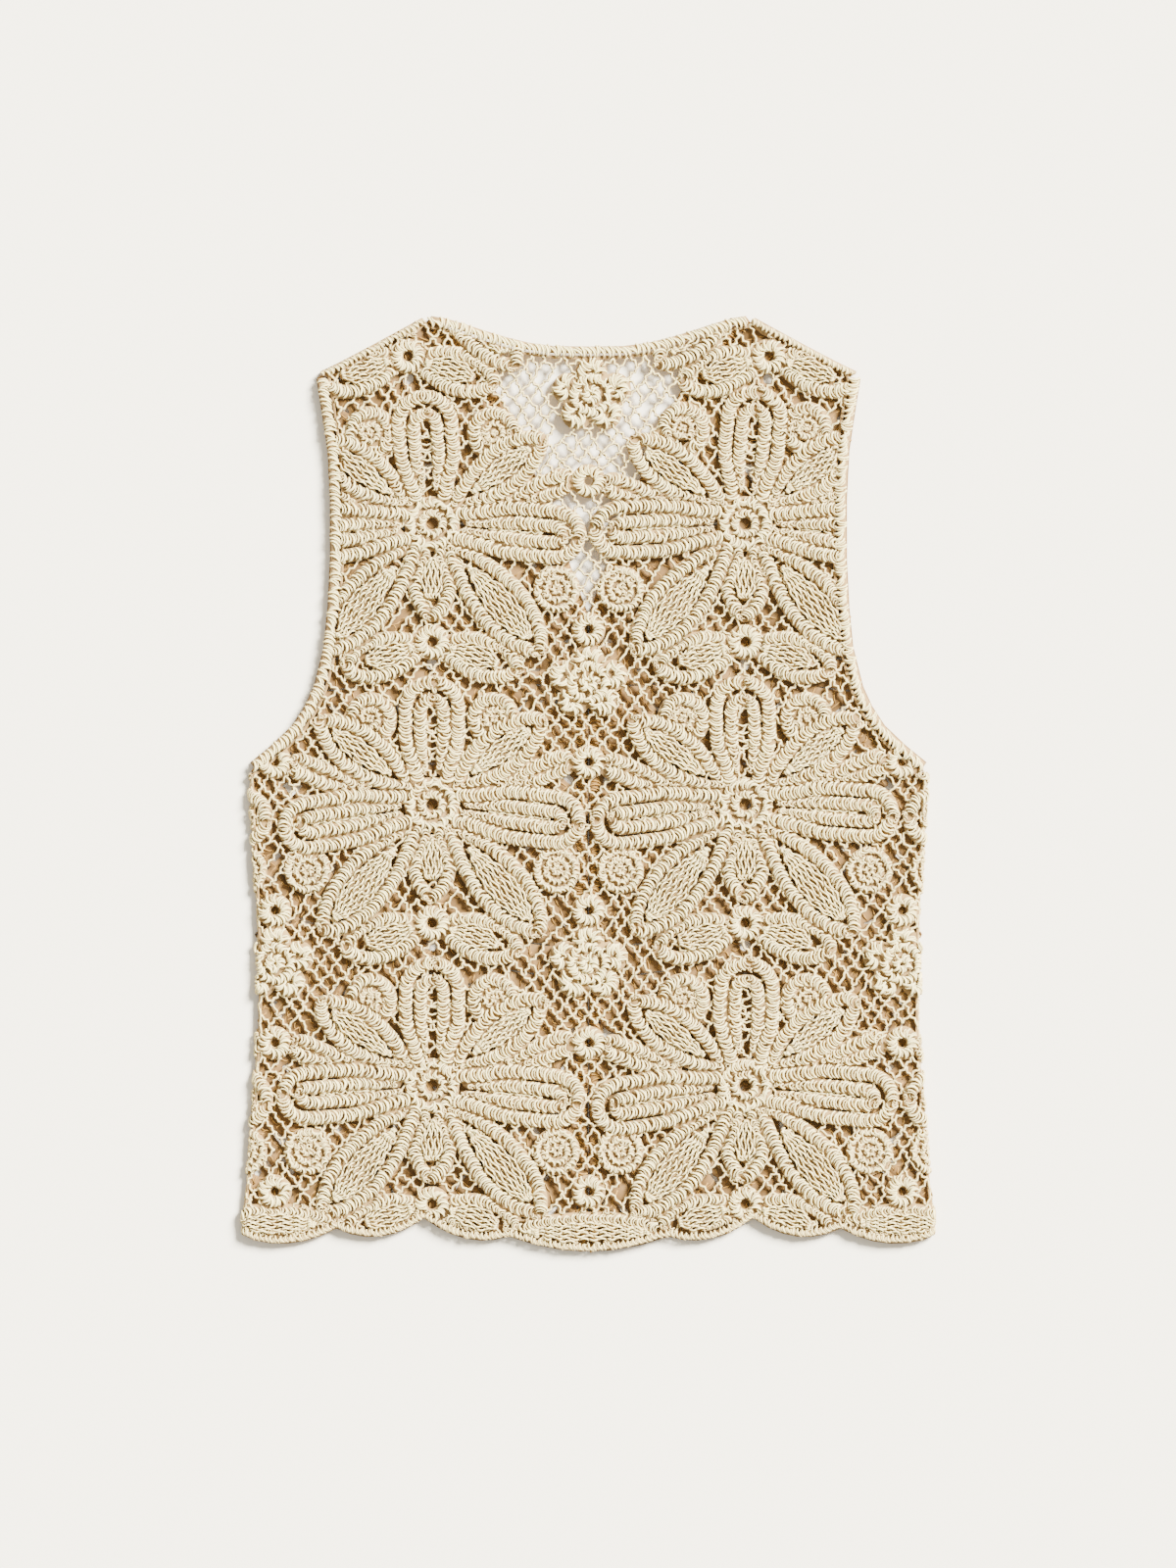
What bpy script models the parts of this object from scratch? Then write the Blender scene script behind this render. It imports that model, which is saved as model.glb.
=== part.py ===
"""A sleeveless crochet top of joined flower motifs, laid flat and face down.

Metres, +Z up, neck towards +Y, hem towards -Y. The two fronts lie on the ground and the back lies on
them. Each panel is one perforated solid: its holes are the gaps of the lace, found as the places that
no crochet strip, leaf, disc, ring or chain covers, and the back's upper side is raised along the strips.
"""

import math

import bmesh
import bpy
import numpy as np
from mathutils import Vector
from mathutils.geometry import delaunay_2d_cdt

MM = 0.001

# Cloth
FRONT_THICK = 3.0 * MM
SEAM_GAP = 0.3 * MM
BACK_WALL = 2.2 * MM
STRIP_RAISE = 2.0 * MM
ROSE_RAISE = 3.8 * MM
DISC_RAISE = 2.6 * MM
SWELL = 1.6 * MM
EDGING = 7.0 * MM
BACK_BASE = FRONT_THICK + SEAM_GAP

# Crochet
STRIP_HALF = 4.4 * MM
CHAIN_HALF = 0.9 * MM
NET_CELL = (10.4 * MM, 13.4 * MM)
NET_JITTER = 0.9 * MM
NET_SPAN = (0.48, 0.62)

# Repeat of the lace
FLOWER_X = 100.5
FLOWER_ROWS = (166.5, -14.0, -194.5)
ROSE_COLUMNS = (-201.5, 0.0, 201.5)
# The whole flowers in mm and degrees: middle, how far the upright, right and left petals lean, and how
# much the upright one is stretched
FLOWERS = (
    (-FLOWER_X, FLOWER_ROWS[0], (4.0, -5.0, 6.0), 3.0),
    (FLOWER_X, FLOWER_ROWS[0], (-5.0, -6.0, 3.0), 6.0),
    (-FLOWER_X, FLOWER_ROWS[1], (0.0, -7.0, 9.5), 0.0),
    (FLOWER_X, FLOWER_ROWS[1], (1.5, -4.0, 7.5), 0.0),
    (-FLOWER_X, FLOWER_ROWS[2], (0.0, -6.0, 4.5), 0.0),
    (FLOWER_X, FLOWER_ROWS[2], (-1.0, -5.6, 9.5), 0.0),
    (-116.0, 350.0, (0.0, 0.0, 0.0), 0.0),
    (116.0, 350.0, (0.0, 0.0, 0.0), 0.0),
)
# The fronts' flowers lie half a repeat lower than the back's, so that neither layer's gaps meet the other's
FRONT_DROP = 90.25 * MM
# Hem leaves: x and y of the root in mm, length and half width
HEM_LEAVES = ((-52.0, -289.0, 104.0, 9.0), (162.0, -283.0, 76.0, 8.5))

# Which gaps are cut
FIELD_STEP = 0.6 * MM
FIELD_REACH = 5.0 * MM
MARGIN = 2.4 * MM
LEAST_GAP = 4.0 * MM
BACK_HOLES = 176
FRONT_HOLES = 62
HOLE_TOLERANCE = 0.62 * MM
CREST_SPACING = 10.5 * MM
INNER_SPACING = 15.0 * MM
POINT_CLEARANCE = 3.8 * MM

# Petals of a flower, in mm and degrees from its middle. half: half width at the strip's middle line.
# kind, direction, root, tip, half, bend
PETALS = (
    ("nested", 90.0, 15.0, 79.0, 17.0, 0.0),
    ("nested", 0.0, 15.0, 95.0, 14.8, 0.0),
    ("nested", 180.0, 15.0, 96.0, 14.6, 0.0),
    ("leaf", 38.0, 17.0, 88.5, 12.2, 0.0),
    ("leaf", 143.5, 17.0, 88.5, 12.2, 0.0),
    ("leaf", -49.5, 17.0, 106.0, 14.4, 0.0),
    ("leaf", 229.5, 17.0, 106.0, 14.4, 0.0),
    ("short", -90.0, 17.0, 59.0, 11.2, 0.0),
    ("slim", 22.5, 46.0, 92.0, 4.4, -7.0),
    ("slim", 158.0, 46.0, 92.0, 4.4, 9.0),
)

# Half outlines in mm, from the middle outwards or down: x, y
NECK = ((0, 281.6), (22, 281.9), (38, 284), (52, 287.4), (66, 291.6), (80, 296.2), (92, 299.8), (101, 301.2))
SHOULDER = ((107, 299), (140, 281), (160, 270.5), (172.5, 264.4))
ARMHOLE = (
    (175, 259.5), (171.7, 238.8), (167.9, 213.6), (166.3, 182), (166.3, 144.3), (167.9, 112.8),
    (170.4, 87.6), (176.7, 62.4), (182.4, 49.8), (190.6, 37.2), (203.8, 24.6), (217.5, 13.4),
)
SIDE = (
    (219.8, 6), (217.5, -40), (215.5, -80), (214.2, -120), (214.8, -160), (217, -200),
    (220.2, -240), (223.6, -272),
)
FRONT_NECK = ((101, 300), (86, 288), (69, 269), (52, 239), (36, 203), (18, 158), (4.2, 120))
# Hem scallops from the side to the middle: x, y of the notch, and y of the lowest point beside it
SCALLOPS = ((225.4, -290.0, -296.0), (162.0, -286.3, -291.5), (105.8, -279.7, -293.0), (51.3, -291.5, -301.25))


def clear_scene():
    for old in list(bpy.data.objects):
        bpy.data.objects.remove(old, do_unlink=True)


def yarn(name, colour, roughness=0.9):
    material = bpy.data.materials.new(name)
    material.use_nodes = True
    shader = material.node_tree.nodes["Principled BSDF"]
    shader.inputs["Base Color"].default_value = (*colour, 1.0)
    shader.inputs["Roughness"].default_value = roughness
    return material


# ---------------------------------------------------------------- plane shapes


def smooth(t):
    t = np.clip(t, 0.0, 1.0)
    return t * t * (3.0 - 2.0 * t)


def placed(points, angle, centre):
    """Points in millimetres turned by an angle and moved to a centre in metres."""
    a = math.radians(angle)
    points = np.asarray(points, float) * MM
    x = points[:, 0] * math.cos(a) - points[:, 1] * math.sin(a)
    y = points[:, 0] * math.sin(a) + points[:, 1] * math.cos(a)
    return np.column_stack([x + centre[0], y + centre[1]])


def u_loop(root, tip, half, neck, count=18):
    """A loop whose sides part from a narrow root, run side by side and close in a round end."""
    cap = tip - half
    u = np.linspace(root, cap, count)
    v = half * (neck + (1.0 - neck) * smooth((u - root) / (0.62 * (cap - root))))
    side = np.column_stack([u, v])
    a = np.linspace(0.0, math.pi, 11)[1:-1]
    end = np.column_stack([cap + half * np.sin(a), half * np.cos(a)])
    return np.vstack([side, end, side[::-1] * (1, -1)])


def leaf_loop(root, tip, half, blunt, neck=0.1, bend=0.0, skew=1.12, count=28):
    """A leaf's outline from the root round the tip and back. More skew puts its widest place nearer the tip."""
    s = np.linspace(0.0, 1.0, count)
    t = 0.5 - 0.5 * np.cos(math.pi * s)
    v = np.maximum(half * np.sin(math.pi * t**skew) ** blunt, half * neck * (1.0 - s))
    u = root + (tip - root) * t
    b = bend * np.sin(math.pi * t)
    return np.vstack([np.column_stack([u, b + v]), np.column_stack([u, b - v])[::-1][1:]])


def circle(radius, count=18):
    a = np.linspace(0.0, 2.0 * math.pi, count, endpoint=False)
    return np.column_stack([radius * np.cos(a), radius * np.sin(a)])


def spiral(radius, hand, turns=1.35, count=26):
    t = np.linspace(0.0, 1.0, count)
    a = math.radians(-60.0 if hand > 0 else 240.0) + hand * 2.0 * math.pi * turns * t
    r = radius * (1.0 - 0.82 * t)
    return np.column_stack([r * np.cos(a), r * np.sin(a)])


# ---------------------------------------------------------------- lace layout
# Each piece of the lace is (points, half width of the strip along them, closed, filled, raise, spacing
# of the points on its crest). Only a piece with the full spacing has furrows beside it.


def strip(points, half=STRIP_HALF, closed=False, filled=False, rise=STRIP_RAISE, spacing=CREST_SPACING):
    return (points, half, closed, filled, rise, spacing)


def leaf_core(points):
    return strip(points, 0.6 * MM, True, True, STRIP_RAISE * 0.9)


def petal(kind, angle, root, tip, half, bend, centre):
    if kind == "nested":
        outer = placed(u_loop(root, tip, half, 0.55), angle, centre)
        inner = placed(u_loop(root + 8.0, tip - 11.5, half - 9.6, 0.9), angle, centre)
        return [strip(outer), strip(inner, STRIP_HALF * 0.94, spacing=INNER_SPACING)]
    if kind == "leaf":
        rim = placed(leaf_loop(root, tip, half, 0.62, bend=bend, skew=1.3), angle, centre)
        core_root = root + 0.22 * (tip - root)
        core = placed(leaf_loop(core_root, tip - 9.0, half - 6.9, 0.7, bend=bend, skew=1.2), angle, centre)
        return [strip(rim), leaf_core(core)]
    if kind == "short":
        rim = placed(leaf_loop(root, tip, half, 0.62, 0.6), angle, centre)
        core = placed(leaf_loop(root + 5.0, tip - 10.0, 5.4, 0.55), angle, centre)
        return [strip(rim), leaf_core(core)]
    return [strip(placed(u_loop(root, tip, half, 0.8) + (0.0, bend), angle, centre))]


def ring_with_leaves(centre, directions=(197.0, -17.0), reach=57.0):
    found = [strip(placed(circle(7.4), 0.0, centre), 4.2 * MM, True)]
    for angle in directions:
        rim = placed(leaf_loop(8.5, reach, 11.6, 0.52, 0.3), angle, centre)
        core = placed(leaf_loop(12.0, reach - 12.0, 6.0, 0.62), angle, centre)
        found += [strip(rim), leaf_core(core)]
    return found


def flower(centre, turns, tall=0.0):
    """Ten petals round a ringed hole. turns: how far the upright, right and left petals lean, in degrees."""
    found = []
    for (kind, angle, root, tip, half, bend), turn in zip(PETALS, (*turns, *[0.0] * 7)):
        longer = tall if angle == 90.0 else 0.0
        found += petal(kind, angle + turn, root, tip + longer, half, bend, centre)
    found.append(strip(placed(circle(6.8), 0.0, centre), 3.0 * MM, True))
    found.append(strip(placed(circle(13.6, 24), 0.0, centre), 4.2 * MM, True))
    for hand in (-1, 1):
        snail = (centre[0] - hand * 36.5 * MM, centre[1] + (57.0 + tall) * MM)
        found.append(strip(placed(spiral(10.6, hand), 0.0, snail), 4.6 * MM))
        disc = (centre[0] - hand * 80.0 * MM, centre[1] - 42.0 * MM)
        found.append(strip(placed(circle(7.6), 0.0, disc), 7.6 * MM, True, True, DISC_RAISE))
    return found + ring_with_leaves((centre[0], centre[1] - 76.0 * MM))


def rose(centre):
    found = [strip(placed(circle(13.0), 0.0, centre), 3.0 * MM, True, True, ROSE_RAISE)]
    for k in range(5):
        a = math.radians(90.0 + 72.0 * k)
        lobe = (centre[0] + 16.0 * MM * math.cos(a), centre[1] + 14.5 * MM * math.sin(a))
        found.append(strip(placed(circle(5.6), 0.0, lobe), 4.6 * MM, True, True, DISC_RAISE))
    return found


def motifs():
    found = []
    for x, y, turns, tall in FLOWERS:
        found += flower((x * MM, y * MM), turns, tall)
    for row, y in enumerate(FLOWER_ROWS):
        for side in (-1, 1):
            found += flower((side * 3.0 * FLOWER_X * MM, y * MM), (0.0, -6.0, 6.0))
        for x in ROSE_COLUMNS:
            for drop in (27.5, -68.0):
                found.append(strip(placed(circle(6.9), 0.0, (x * MM, (y + drop) * MM)), 4.1 * MM, True))
            if row < 2:
                found += rose((x * MM, (y - 102.0) * MM))
    found += rose((2.0 * MM, 249.0 * MM))
    for x, y, length, half in HEM_LEAVES:
        leaf = placed(leaf_loop(0.0, length, half, 0.5, 0.3), 0.0, (x * MM, y * MM))
        found.append(strip(leaf, filled=True, closed=True))
        if x > 0:
            found.append(strip(leaf * (-1, 1), filled=True, closed=True))
    return found


def net_chains():
    """Chains of the diamond net that fills all the gaps, each with its crossings moved a little."""
    rng = np.random.default_rng(7)
    wide, high = NET_CELL
    columns = int(NET_SPAN[0] / wide)
    rows = int(NET_SPAN[1] / (high / 2))
    shift = rng.uniform(-NET_JITTER, NET_JITTER, (rows + 1, columns + 2, 2))
    chains = []
    for j in range(rows):
        for i in range(columns + 1):
            here = crossing(i, j, shift)
            for k in ((i, j + 1), (i + (1 if j % 2 else -1), j + 1)):
                if 0 <= k[0] <= columns:
                    chains.append(strip(np.array([here, crossing(*k, shift)]), CHAIN_HALF))
    return chains


def crossing(i, j, shift):
    """Where two chains of the net cross: every second row stands half a cell aside."""
    wide, high = NET_CELL
    x = (i + 0.5 * (j % 2)) * wide - NET_SPAN[0] / 2
    y = j * high / 2 - NET_SPAN[1] / 2
    return (x + shift[j, i, 0], y + shift[j, i, 1])


# ---------------------------------------------------------------- outlines


def mirrored(points):
    return np.asarray(points)[::-1] * (-1, 1)


def hem_half():
    """The scalloped hem from the side seam to the middle."""
    points = []
    ends = [*SCALLOPS, (-SCALLOPS[-1][0], SCALLOPS[-1][1], 0.0)]
    for (x0, y0, low), (x1, y1, _) in zip(ends[:-1], ends[1:]):
        for t in np.linspace(0.0, 1.0, 7)[:-1]:
            x = x0 + (x1 - x0) * t
            if x < -0.01:
                break
            y = y0 + (y1 - y0) * t + (low - (y0 + y1) / 2) * (1.0 - (2.0 * t - 1.0) ** 2)
            points.append((x, y))
    return np.array(points)


def normals(path):
    """Unit normals of an open path, on its right-hand side."""
    ahead = np.gradient(np.asarray(path, float), axis=0)
    ahead /= np.linalg.norm(ahead, axis=1)[:, None]
    return np.column_stack([ahead[:, 1], -ahead[:, 0]]), ahead


def moved_in(path, distance):
    side, _ = normals(path)
    return path + side * distance


def beside_edging(path, round_start=True):
    """Where a panel ends along an edging: just inside it, and round its ends."""
    side, ahead = normals(path)
    gap = SEAM_GAP * 1.2
    inner = path + side * (EDGING + SEAM_GAP)
    inner[-1] += ahead[-1] * gap
    if not round_start:
        return np.vstack([inner, path[-1] + ahead[-1] * gap])
    inner[0] -= ahead[0] * gap
    return np.vstack([path[0] - ahead[0] * gap, inner, path[-1] + ahead[-1] * gap])


def back_paths():
    """Clockwise stretches of the back: neck, right shoulder, right armhole, right side and hem."""
    neck = np.vstack([mirrored(NECK)[:-1], NECK]) * MM
    return {
        "neck": neck,
        "shoulder": np.array(SHOULDER) * MM,
        "armhole": np.array(ARMHOLE) * MM,
        "side": np.array(SIDE) * MM,
        "hem": hem_half() * MM,
    }


def back_outline():
    path = back_paths()
    half = [path["shoulder"], beside_edging(path["armhole"]), path["side"], path["hem"]]
    right = np.vstack(half)
    return np.vstack([beside_edging(path["neck"]), right, mirrored(right)[1:]])


def front_edge():
    """The right front's own edge: down the V of the neck, then down the middle to the hem."""
    down = [(0.2, y) for y in (108, 60, 0, -60, -120, -180, -240, -300.8)]
    return np.array([*FRONT_NECK, *down]) * MM


def front_outline():
    """Clockwise outline of the front at +X, starting where its edge meets the hem."""
    path = back_paths()
    edge = beside_edging(front_edge()[::-1], round_start=False)
    hem = path["hem"]
    hem = hem[hem[:, 0] > EDGING + 2.0 * MM]
    return np.vstack([edge, path["shoulder"], beside_edging(path["armhole"]), path["side"], hem])


# ---------------------------------------------------------------- gaps of the lace


class Field:
    """Distance to the lace on a square grid over the garment: above 0 in a gap, below 0 on crochet."""

    def __init__(self, low, high):
        self.low = np.array(low)
        size = np.ceil((np.array(high) - self.low) / FIELD_STEP).astype(int) + 1
        self.x = self.low[0] + np.arange(size[0]) * FIELD_STEP
        self.y = self.low[1] + np.arange(size[1]) * FIELD_STEP
        self.value = np.full((size[1], size[0]), 12.0 * MM)

    def bordered(self, outline):
        """A copy in which a narrow margin inside an outline counts as crochet."""
        other = Field(self.low, (self.x[-1] - 0.5 * FIELD_STEP, self.y[-1] - 0.5 * FIELD_STEP))
        other.value = self.value.copy()
        other.add_path(outline, MARGIN, True)
        return other

    def window(self, points, reach):
        low = np.floor((points.min(0) - reach - self.low) / FIELD_STEP).astype(int)
        high = np.ceil((points.max(0) + reach - self.low) / FIELD_STEP).astype(int) + 1
        x0, y0 = np.maximum(low, 0)
        x1, y1 = np.maximum(high, 0)
        return slice(y0, y1), slice(x0, x1)

    def add_path(self, points, half, closed):
        ends = np.vstack([points, points[:1]]) if closed else points
        for a, b in zip(ends[:-1], ends[1:]):
            rows, cols = self.window(np.array([a, b]), half + FIELD_REACH)
            x, y = np.meshgrid(self.x[cols], self.y[rows])
            if not x.size:
                continue
            d = b - a
            t = np.clip(((x - a[0]) * d[0] + (y - a[1]) * d[1]) / (d @ d), 0.0, 1.0)
            away = np.hypot(x - a[0] - t * d[0], y - a[1] - t * d[1]) - half
            self.value[rows, cols] = np.minimum(self.value[rows, cols], away)

    def fill(self, points):
        rows, cols = self.window(points, 0.0)
        x, y = np.meshgrid(self.x[cols], self.y[rows])
        if x.size:
            self.value[rows, cols] = np.where(inside(x, y, points), -1.0 * MM, self.value[rows, cols])

    def contours(self):
        """Closed level-0 loops of the field, by marching squares."""
        f = self.value
        code = (f[:-1, :-1] > 0) + 2 * (f[:-1, 1:] > 0) + 4 * (f[1:, 1:] > 0) + 8 * (f[1:, :-1] > 0)
        joins = {
            1: ("WS",), 2: ("SE",), 3: ("WE",), 4: ("EN",), 5: ("WS", "EN"), 6: ("SN",), 7: ("WN",),
            8: ("NW",), 9: ("NS",), 10: ("SE", "NW"), 11: ("NE",), 12: ("EW",), 13: ("ES",), 14: ("SW",),
        }
        after = {}
        for j, i in zip(*np.nonzero((code > 0) & (code < 15))):
            key = {"S": (j, i, 0), "N": (j + 1, i, 0), "W": (j, i, 1), "E": (j, i + 1, 1)}
            for a, b in joins[int(code[j, i])]:
                after[key[a]] = key[b]
        loops = []
        while after:
            start, here = after.popitem()
            chain = [start]
            while here in after:
                chain.append(here)
                here = after.pop(here)
            loops.append(np.array([self.crossing_point(*k) for k in chain]))
        return loops

    def crossing_point(self, j, i, upright):
        a = self.value[j, i]
        b = self.value[j + 1, i] if upright else self.value[j, i + 1]
        t = a / (a - b)
        return (self.x[i] + (0.0 if upright else t * FIELD_STEP), self.y[j] + (t * FIELD_STEP if upright else 0.0))


def inside(x, y, loop):
    """Whether each point lies within a closed loop, by counting crossings."""
    odd = np.zeros(np.shape(x), bool)
    for (x0, y0), (x1, y1) in zip(loop, np.roll(loop, -1, axis=0)):
        if y0 != y1:
            hit = ((y0 > y) != (y1 > y)) & (x < (x1 - x0) * (y - y0) / (y1 - y0) + x0)
            odd ^= hit
    return odd


def simplified(path, tolerance):
    """Douglas-Peucker on an open path."""
    if len(path) < 3:
        return path
    d = path[-1] - path[0]
    away = np.abs(d[0] * (path[:, 1] - path[0, 1]) - d[1] * (path[:, 0] - path[0, 0]))
    away = away / max(np.hypot(*d), 1e-9)
    k = int(away.argmax())
    if away[k] < tolerance:
        return path[[0, -1]]
    return np.vstack([simplified(path[: k + 1], tolerance)[:-1], simplified(path[k:], tolerance)])


def simplified_loop(loop, tolerance):
    middle = loop.mean(0)
    start = int(np.hypot(*(loop - middle).T).argmax())
    loop = np.roll(loop, -start, axis=0)
    far = int(np.hypot(*(loop - loop[0]).T).argmax())
    first = simplified(loop[: far + 1], tolerance)
    second = simplified(np.vstack([loop[far:], loop[:1]]), tolerance)
    return np.vstack([first[:-1], second[:-1]])


def roomy(loop, field):
    """The widest round that fits in a gap, as a diameter."""
    rows, cols = field.window(loop, 0.0)
    x, y = np.meshgrid(field.x[cols], field.y[rows])
    value = field.value[rows, cols]
    if value.max() < LEAST_GAP / 2:
        return 0.0
    within = inside(x, y, loop)
    return 2.0 * float(value[within].max()) if within.any() else 0.0


def lace_field(lace, outline):
    field = Field(outline.min(0) - 5.0 * MM, outline.max(0) + 5.0 * MM)
    for points, half, closed, filled, _, _ in lace:
        field.add_path(points, half, closed)
        if filled:
            field.fill(points)
    return field


def gaps(lace, outline, count):
    """The widest gaps of the lace inside an outline, each a simple closed loop."""
    field = lace.bordered(outline)
    loops = [loop for loop in field.contours() if len(loop) >= 12]
    middles = np.array([loop.mean(0) for loop in loops])
    within = inside(middles[:, 0], middles[:, 1], outline)
    found = [(roomy(loop, field), loop) for loop, wanted in zip(loops, within) if wanted]
    found = sorted((gap for gap in found if gap[0] > LEAST_GAP), key=lambda gap: -gap[0])
    return [simplified_loop(loop, HOLE_TOLERANCE) for _, loop in found[:count]]


# ---------------------------------------------------------------- solids


def swell(x, y):
    """How far the back rises off the fronts between its edges, in a few soft uneven waves."""
    across = 1.0 - min(1.0, abs(x) / (0.205 if y < 0.01 else 0.160)) ** 4
    along = smooth((y + 0.285) / 0.05) * smooth((0.285 - y) / 0.05)
    wave = 0.55 + 0.25 * math.sin(31.0 * x + 9.0 * y) + 0.20 * math.sin(23.0 * y - 14.0 * x + 1.1)
    return SWELL * across * float(along) * wave


def relief_points(lace, outline, holes):
    """Points on the strips' crests and in the furrows between them, with how far each is raised."""
    taken = {}
    cell = POINT_CLEARANCE

    def free(p):
        i, j = int(p[0] // cell), int(p[1] // cell)
        near = (q for a in (-1, 0, 1) for b in (-1, 0, 1) for q in taken.get((i + a, j + b), ()))
        return all(math.hypot(p[0] - q[0], p[1] - q[1]) > cell for q in near)

    def take(p):
        taken.setdefault((int(p[0] // cell), int(p[1] // cell)), []).append(p)

    for loop in (outline, *holes):
        for a, b in zip(loop, np.roll(loop, -1, axis=0)):
            steps = max(1, int(math.dist(a, b) / (0.8 * cell)))
            for k in range(steps):
                take(tuple(a + (b - a) * k / steps))
    offered = np.array([
        (*p, lift) for part in ("crest", "furrow") for piece in lace for p, lift in samples(*piece, part)
    ])
    wanted = inside(offered[:, 0], offered[:, 1], outline)
    for hole in holes:
        near = np.all((offered[:, :2] > hole.min(0)) & (offered[:, :2] < hole.max(0)), axis=1)
        wanted[near] &= ~inside(offered[near, 0], offered[near, 1], hole)
    found = []
    for x, y, lift in offered[wanted]:
        if free((x, y)):
            take((x, y))
            found.append((x, y, lift))
    return found


def samples(points, half, closed, filled, rise, spacing, part):
    """Evenly spaced points along a strip: on its middle line, or along both of its sides."""
    if filled and part == "crest":
        yield points.mean(0), rise
    if half < 2.0 * MM:
        return
    path = np.vstack([points, points[:1]]) if closed else points
    run = np.concatenate([[0.0], np.cumsum(np.hypot(*np.diff(path, axis=0).T))])
    count = max(2, int(run[-1] / spacing))
    at = (np.arange(count) + 0.5) * run[-1] / count
    line = np.column_stack([np.interp(at, run, path[:, 0]), np.interp(at, run, path[:, 1])])
    if part == "crest":
        for p in line:
            yield p, rise
        return
    if spacing > CREST_SPACING:
        return
    side, _ = normals(line)
    for sign in (-1.0, 1.0):
        for p in line + side * sign * (half + 0.2 * MM):
            yield p, 0.0


def triangles(outline, holes, extra):
    """Delaunay triangles between an outline and its holes, through the extra points."""
    loops = [outline, *holes]
    points = [Vector(p) for loop in loops for p in loop] + [Vector(p[:2]) for p in extra]
    edges = []
    first = 0
    for loop in loops:
        n = len(loop)
        edges += [(first + k, first + (k + 1) % n) for k in range(n)]
        first += n
    out, _, faces, source, _, _ = delaunay_2d_cdt(points, edges, [], 1, 1e-9)
    back = [ids[0] for ids in source]
    assert len(out) == len(points), "two points of a panel coincide or two of its edges cross"
    middles = np.array([np.mean([out[v] for v in face], axis=0) for face in faces])
    keep = np.ones(len(faces), bool)
    for hole in holes:
        near = np.all((middles > hole.min(0)) & (middles < hole.max(0)), axis=1)
        keep[near] &= ~inside(middles[near, 0], middles[near, 1], hole)
    keep &= inside(middles[:, 0], middles[:, 1], outline)
    return [tuple(back[v] for v in face) for face, wanted in zip(faces, keep) if wanted], edges


def panel(name, outline, holes, extra, low, high, material, collection):
    """A perforated wall: a flat or swelling underside, an upper side through the raised points."""
    rim = np.vstack([outline, *holes])
    upper, edges = triangles(outline, holes, extra)
    lower, _ = triangles(outline, holes, [])
    top = [(x, y, high(x, y, 0.0)) for x, y in rim] + [(x, y, high(x, y, lift)) for x, y, lift in extra]
    bottom = [(x, y, low(x, y)) for x, y in rim]
    shift = len(top)
    faces = list(upper) + [tuple(shift + v for v in reversed(face)) for face in lower]
    solid_on = {(face[k], face[(k + 1) % 3]) for face in upper for k in range(3)}
    for a, b in edges:
        a, b = (a, b) if (a, b) in solid_on else (b, a)
        faces += [(a, shift + a, shift + b), (a, shift + b, b)]
    mesh = bpy.data.meshes.new(name)
    mesh.from_pydata(top + bottom, [], faces)
    mesh.validate()
    return finish(name, mesh, material, collection)


def finish(name, data, material, collection):
    thing = bpy.data.objects.new(name, data)
    data.materials.append(material)
    collection.objects.link(thing)
    return thing


def band_section(name, thick, guides):
    """The flat oval section of an edging, as a curve that the edgings are swept with."""
    data = bpy.data.curves.new(name, "CURVE")
    line = data.splines.new("POLY")
    sides = 10
    line.points.add(sides - 1)
    for k, point in enumerate(line.points):
        a = 2.0 * math.pi * (k + 0.5) / sides
        point.co = (EDGING / 2 * math.cos(a), thick / 2 * math.sin(a), 0.0, 1.0)
    line.use_cyclic_u = True
    guide = bpy.data.objects.new(name, data)
    guide.hide_render = True
    guide.display_type = "WIRE"
    guides.objects.link(guide)
    return guide


def edging(name, path, height, section, material, collection):
    """A crocheted band swept along the outer side of a panel."""
    middle = moved_in(path, EDGING / 2)
    data = bpy.data.curves.new(name, "CURVE")
    data.dimensions = "2D"
    data.fill_mode = "NONE"
    line = data.splines.new("POLY")
    line.points.add(len(middle) - 1)
    for point, (x, y) in zip(line.points, middle):
        point.co = (x, y, 0.0, 1.0)
    data.bevel_mode = "OBJECT"
    data.bevel_object = section
    data.use_fill_caps = True
    sweep = bpy.data.objects.new(name + "_sweep", data)
    collection.objects.link(sweep)
    mesh = bpy.data.meshes.new_from_object(sweep.evaluated_get(bpy.context.evaluated_depsgraph_get()))
    bpy.data.objects.remove(sweep)
    shell = bmesh.new()
    shell.from_mesh(mesh)
    bmesh.ops.remove_doubles(shell, verts=shell.verts, dist=1e-6)
    bmesh.ops.recalc_face_normals(shell, faces=shell.faces)
    shell.to_mesh(mesh)
    shell.free()
    band = finish(name, mesh, material, collection)
    band.location.z = height
    return band


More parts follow.
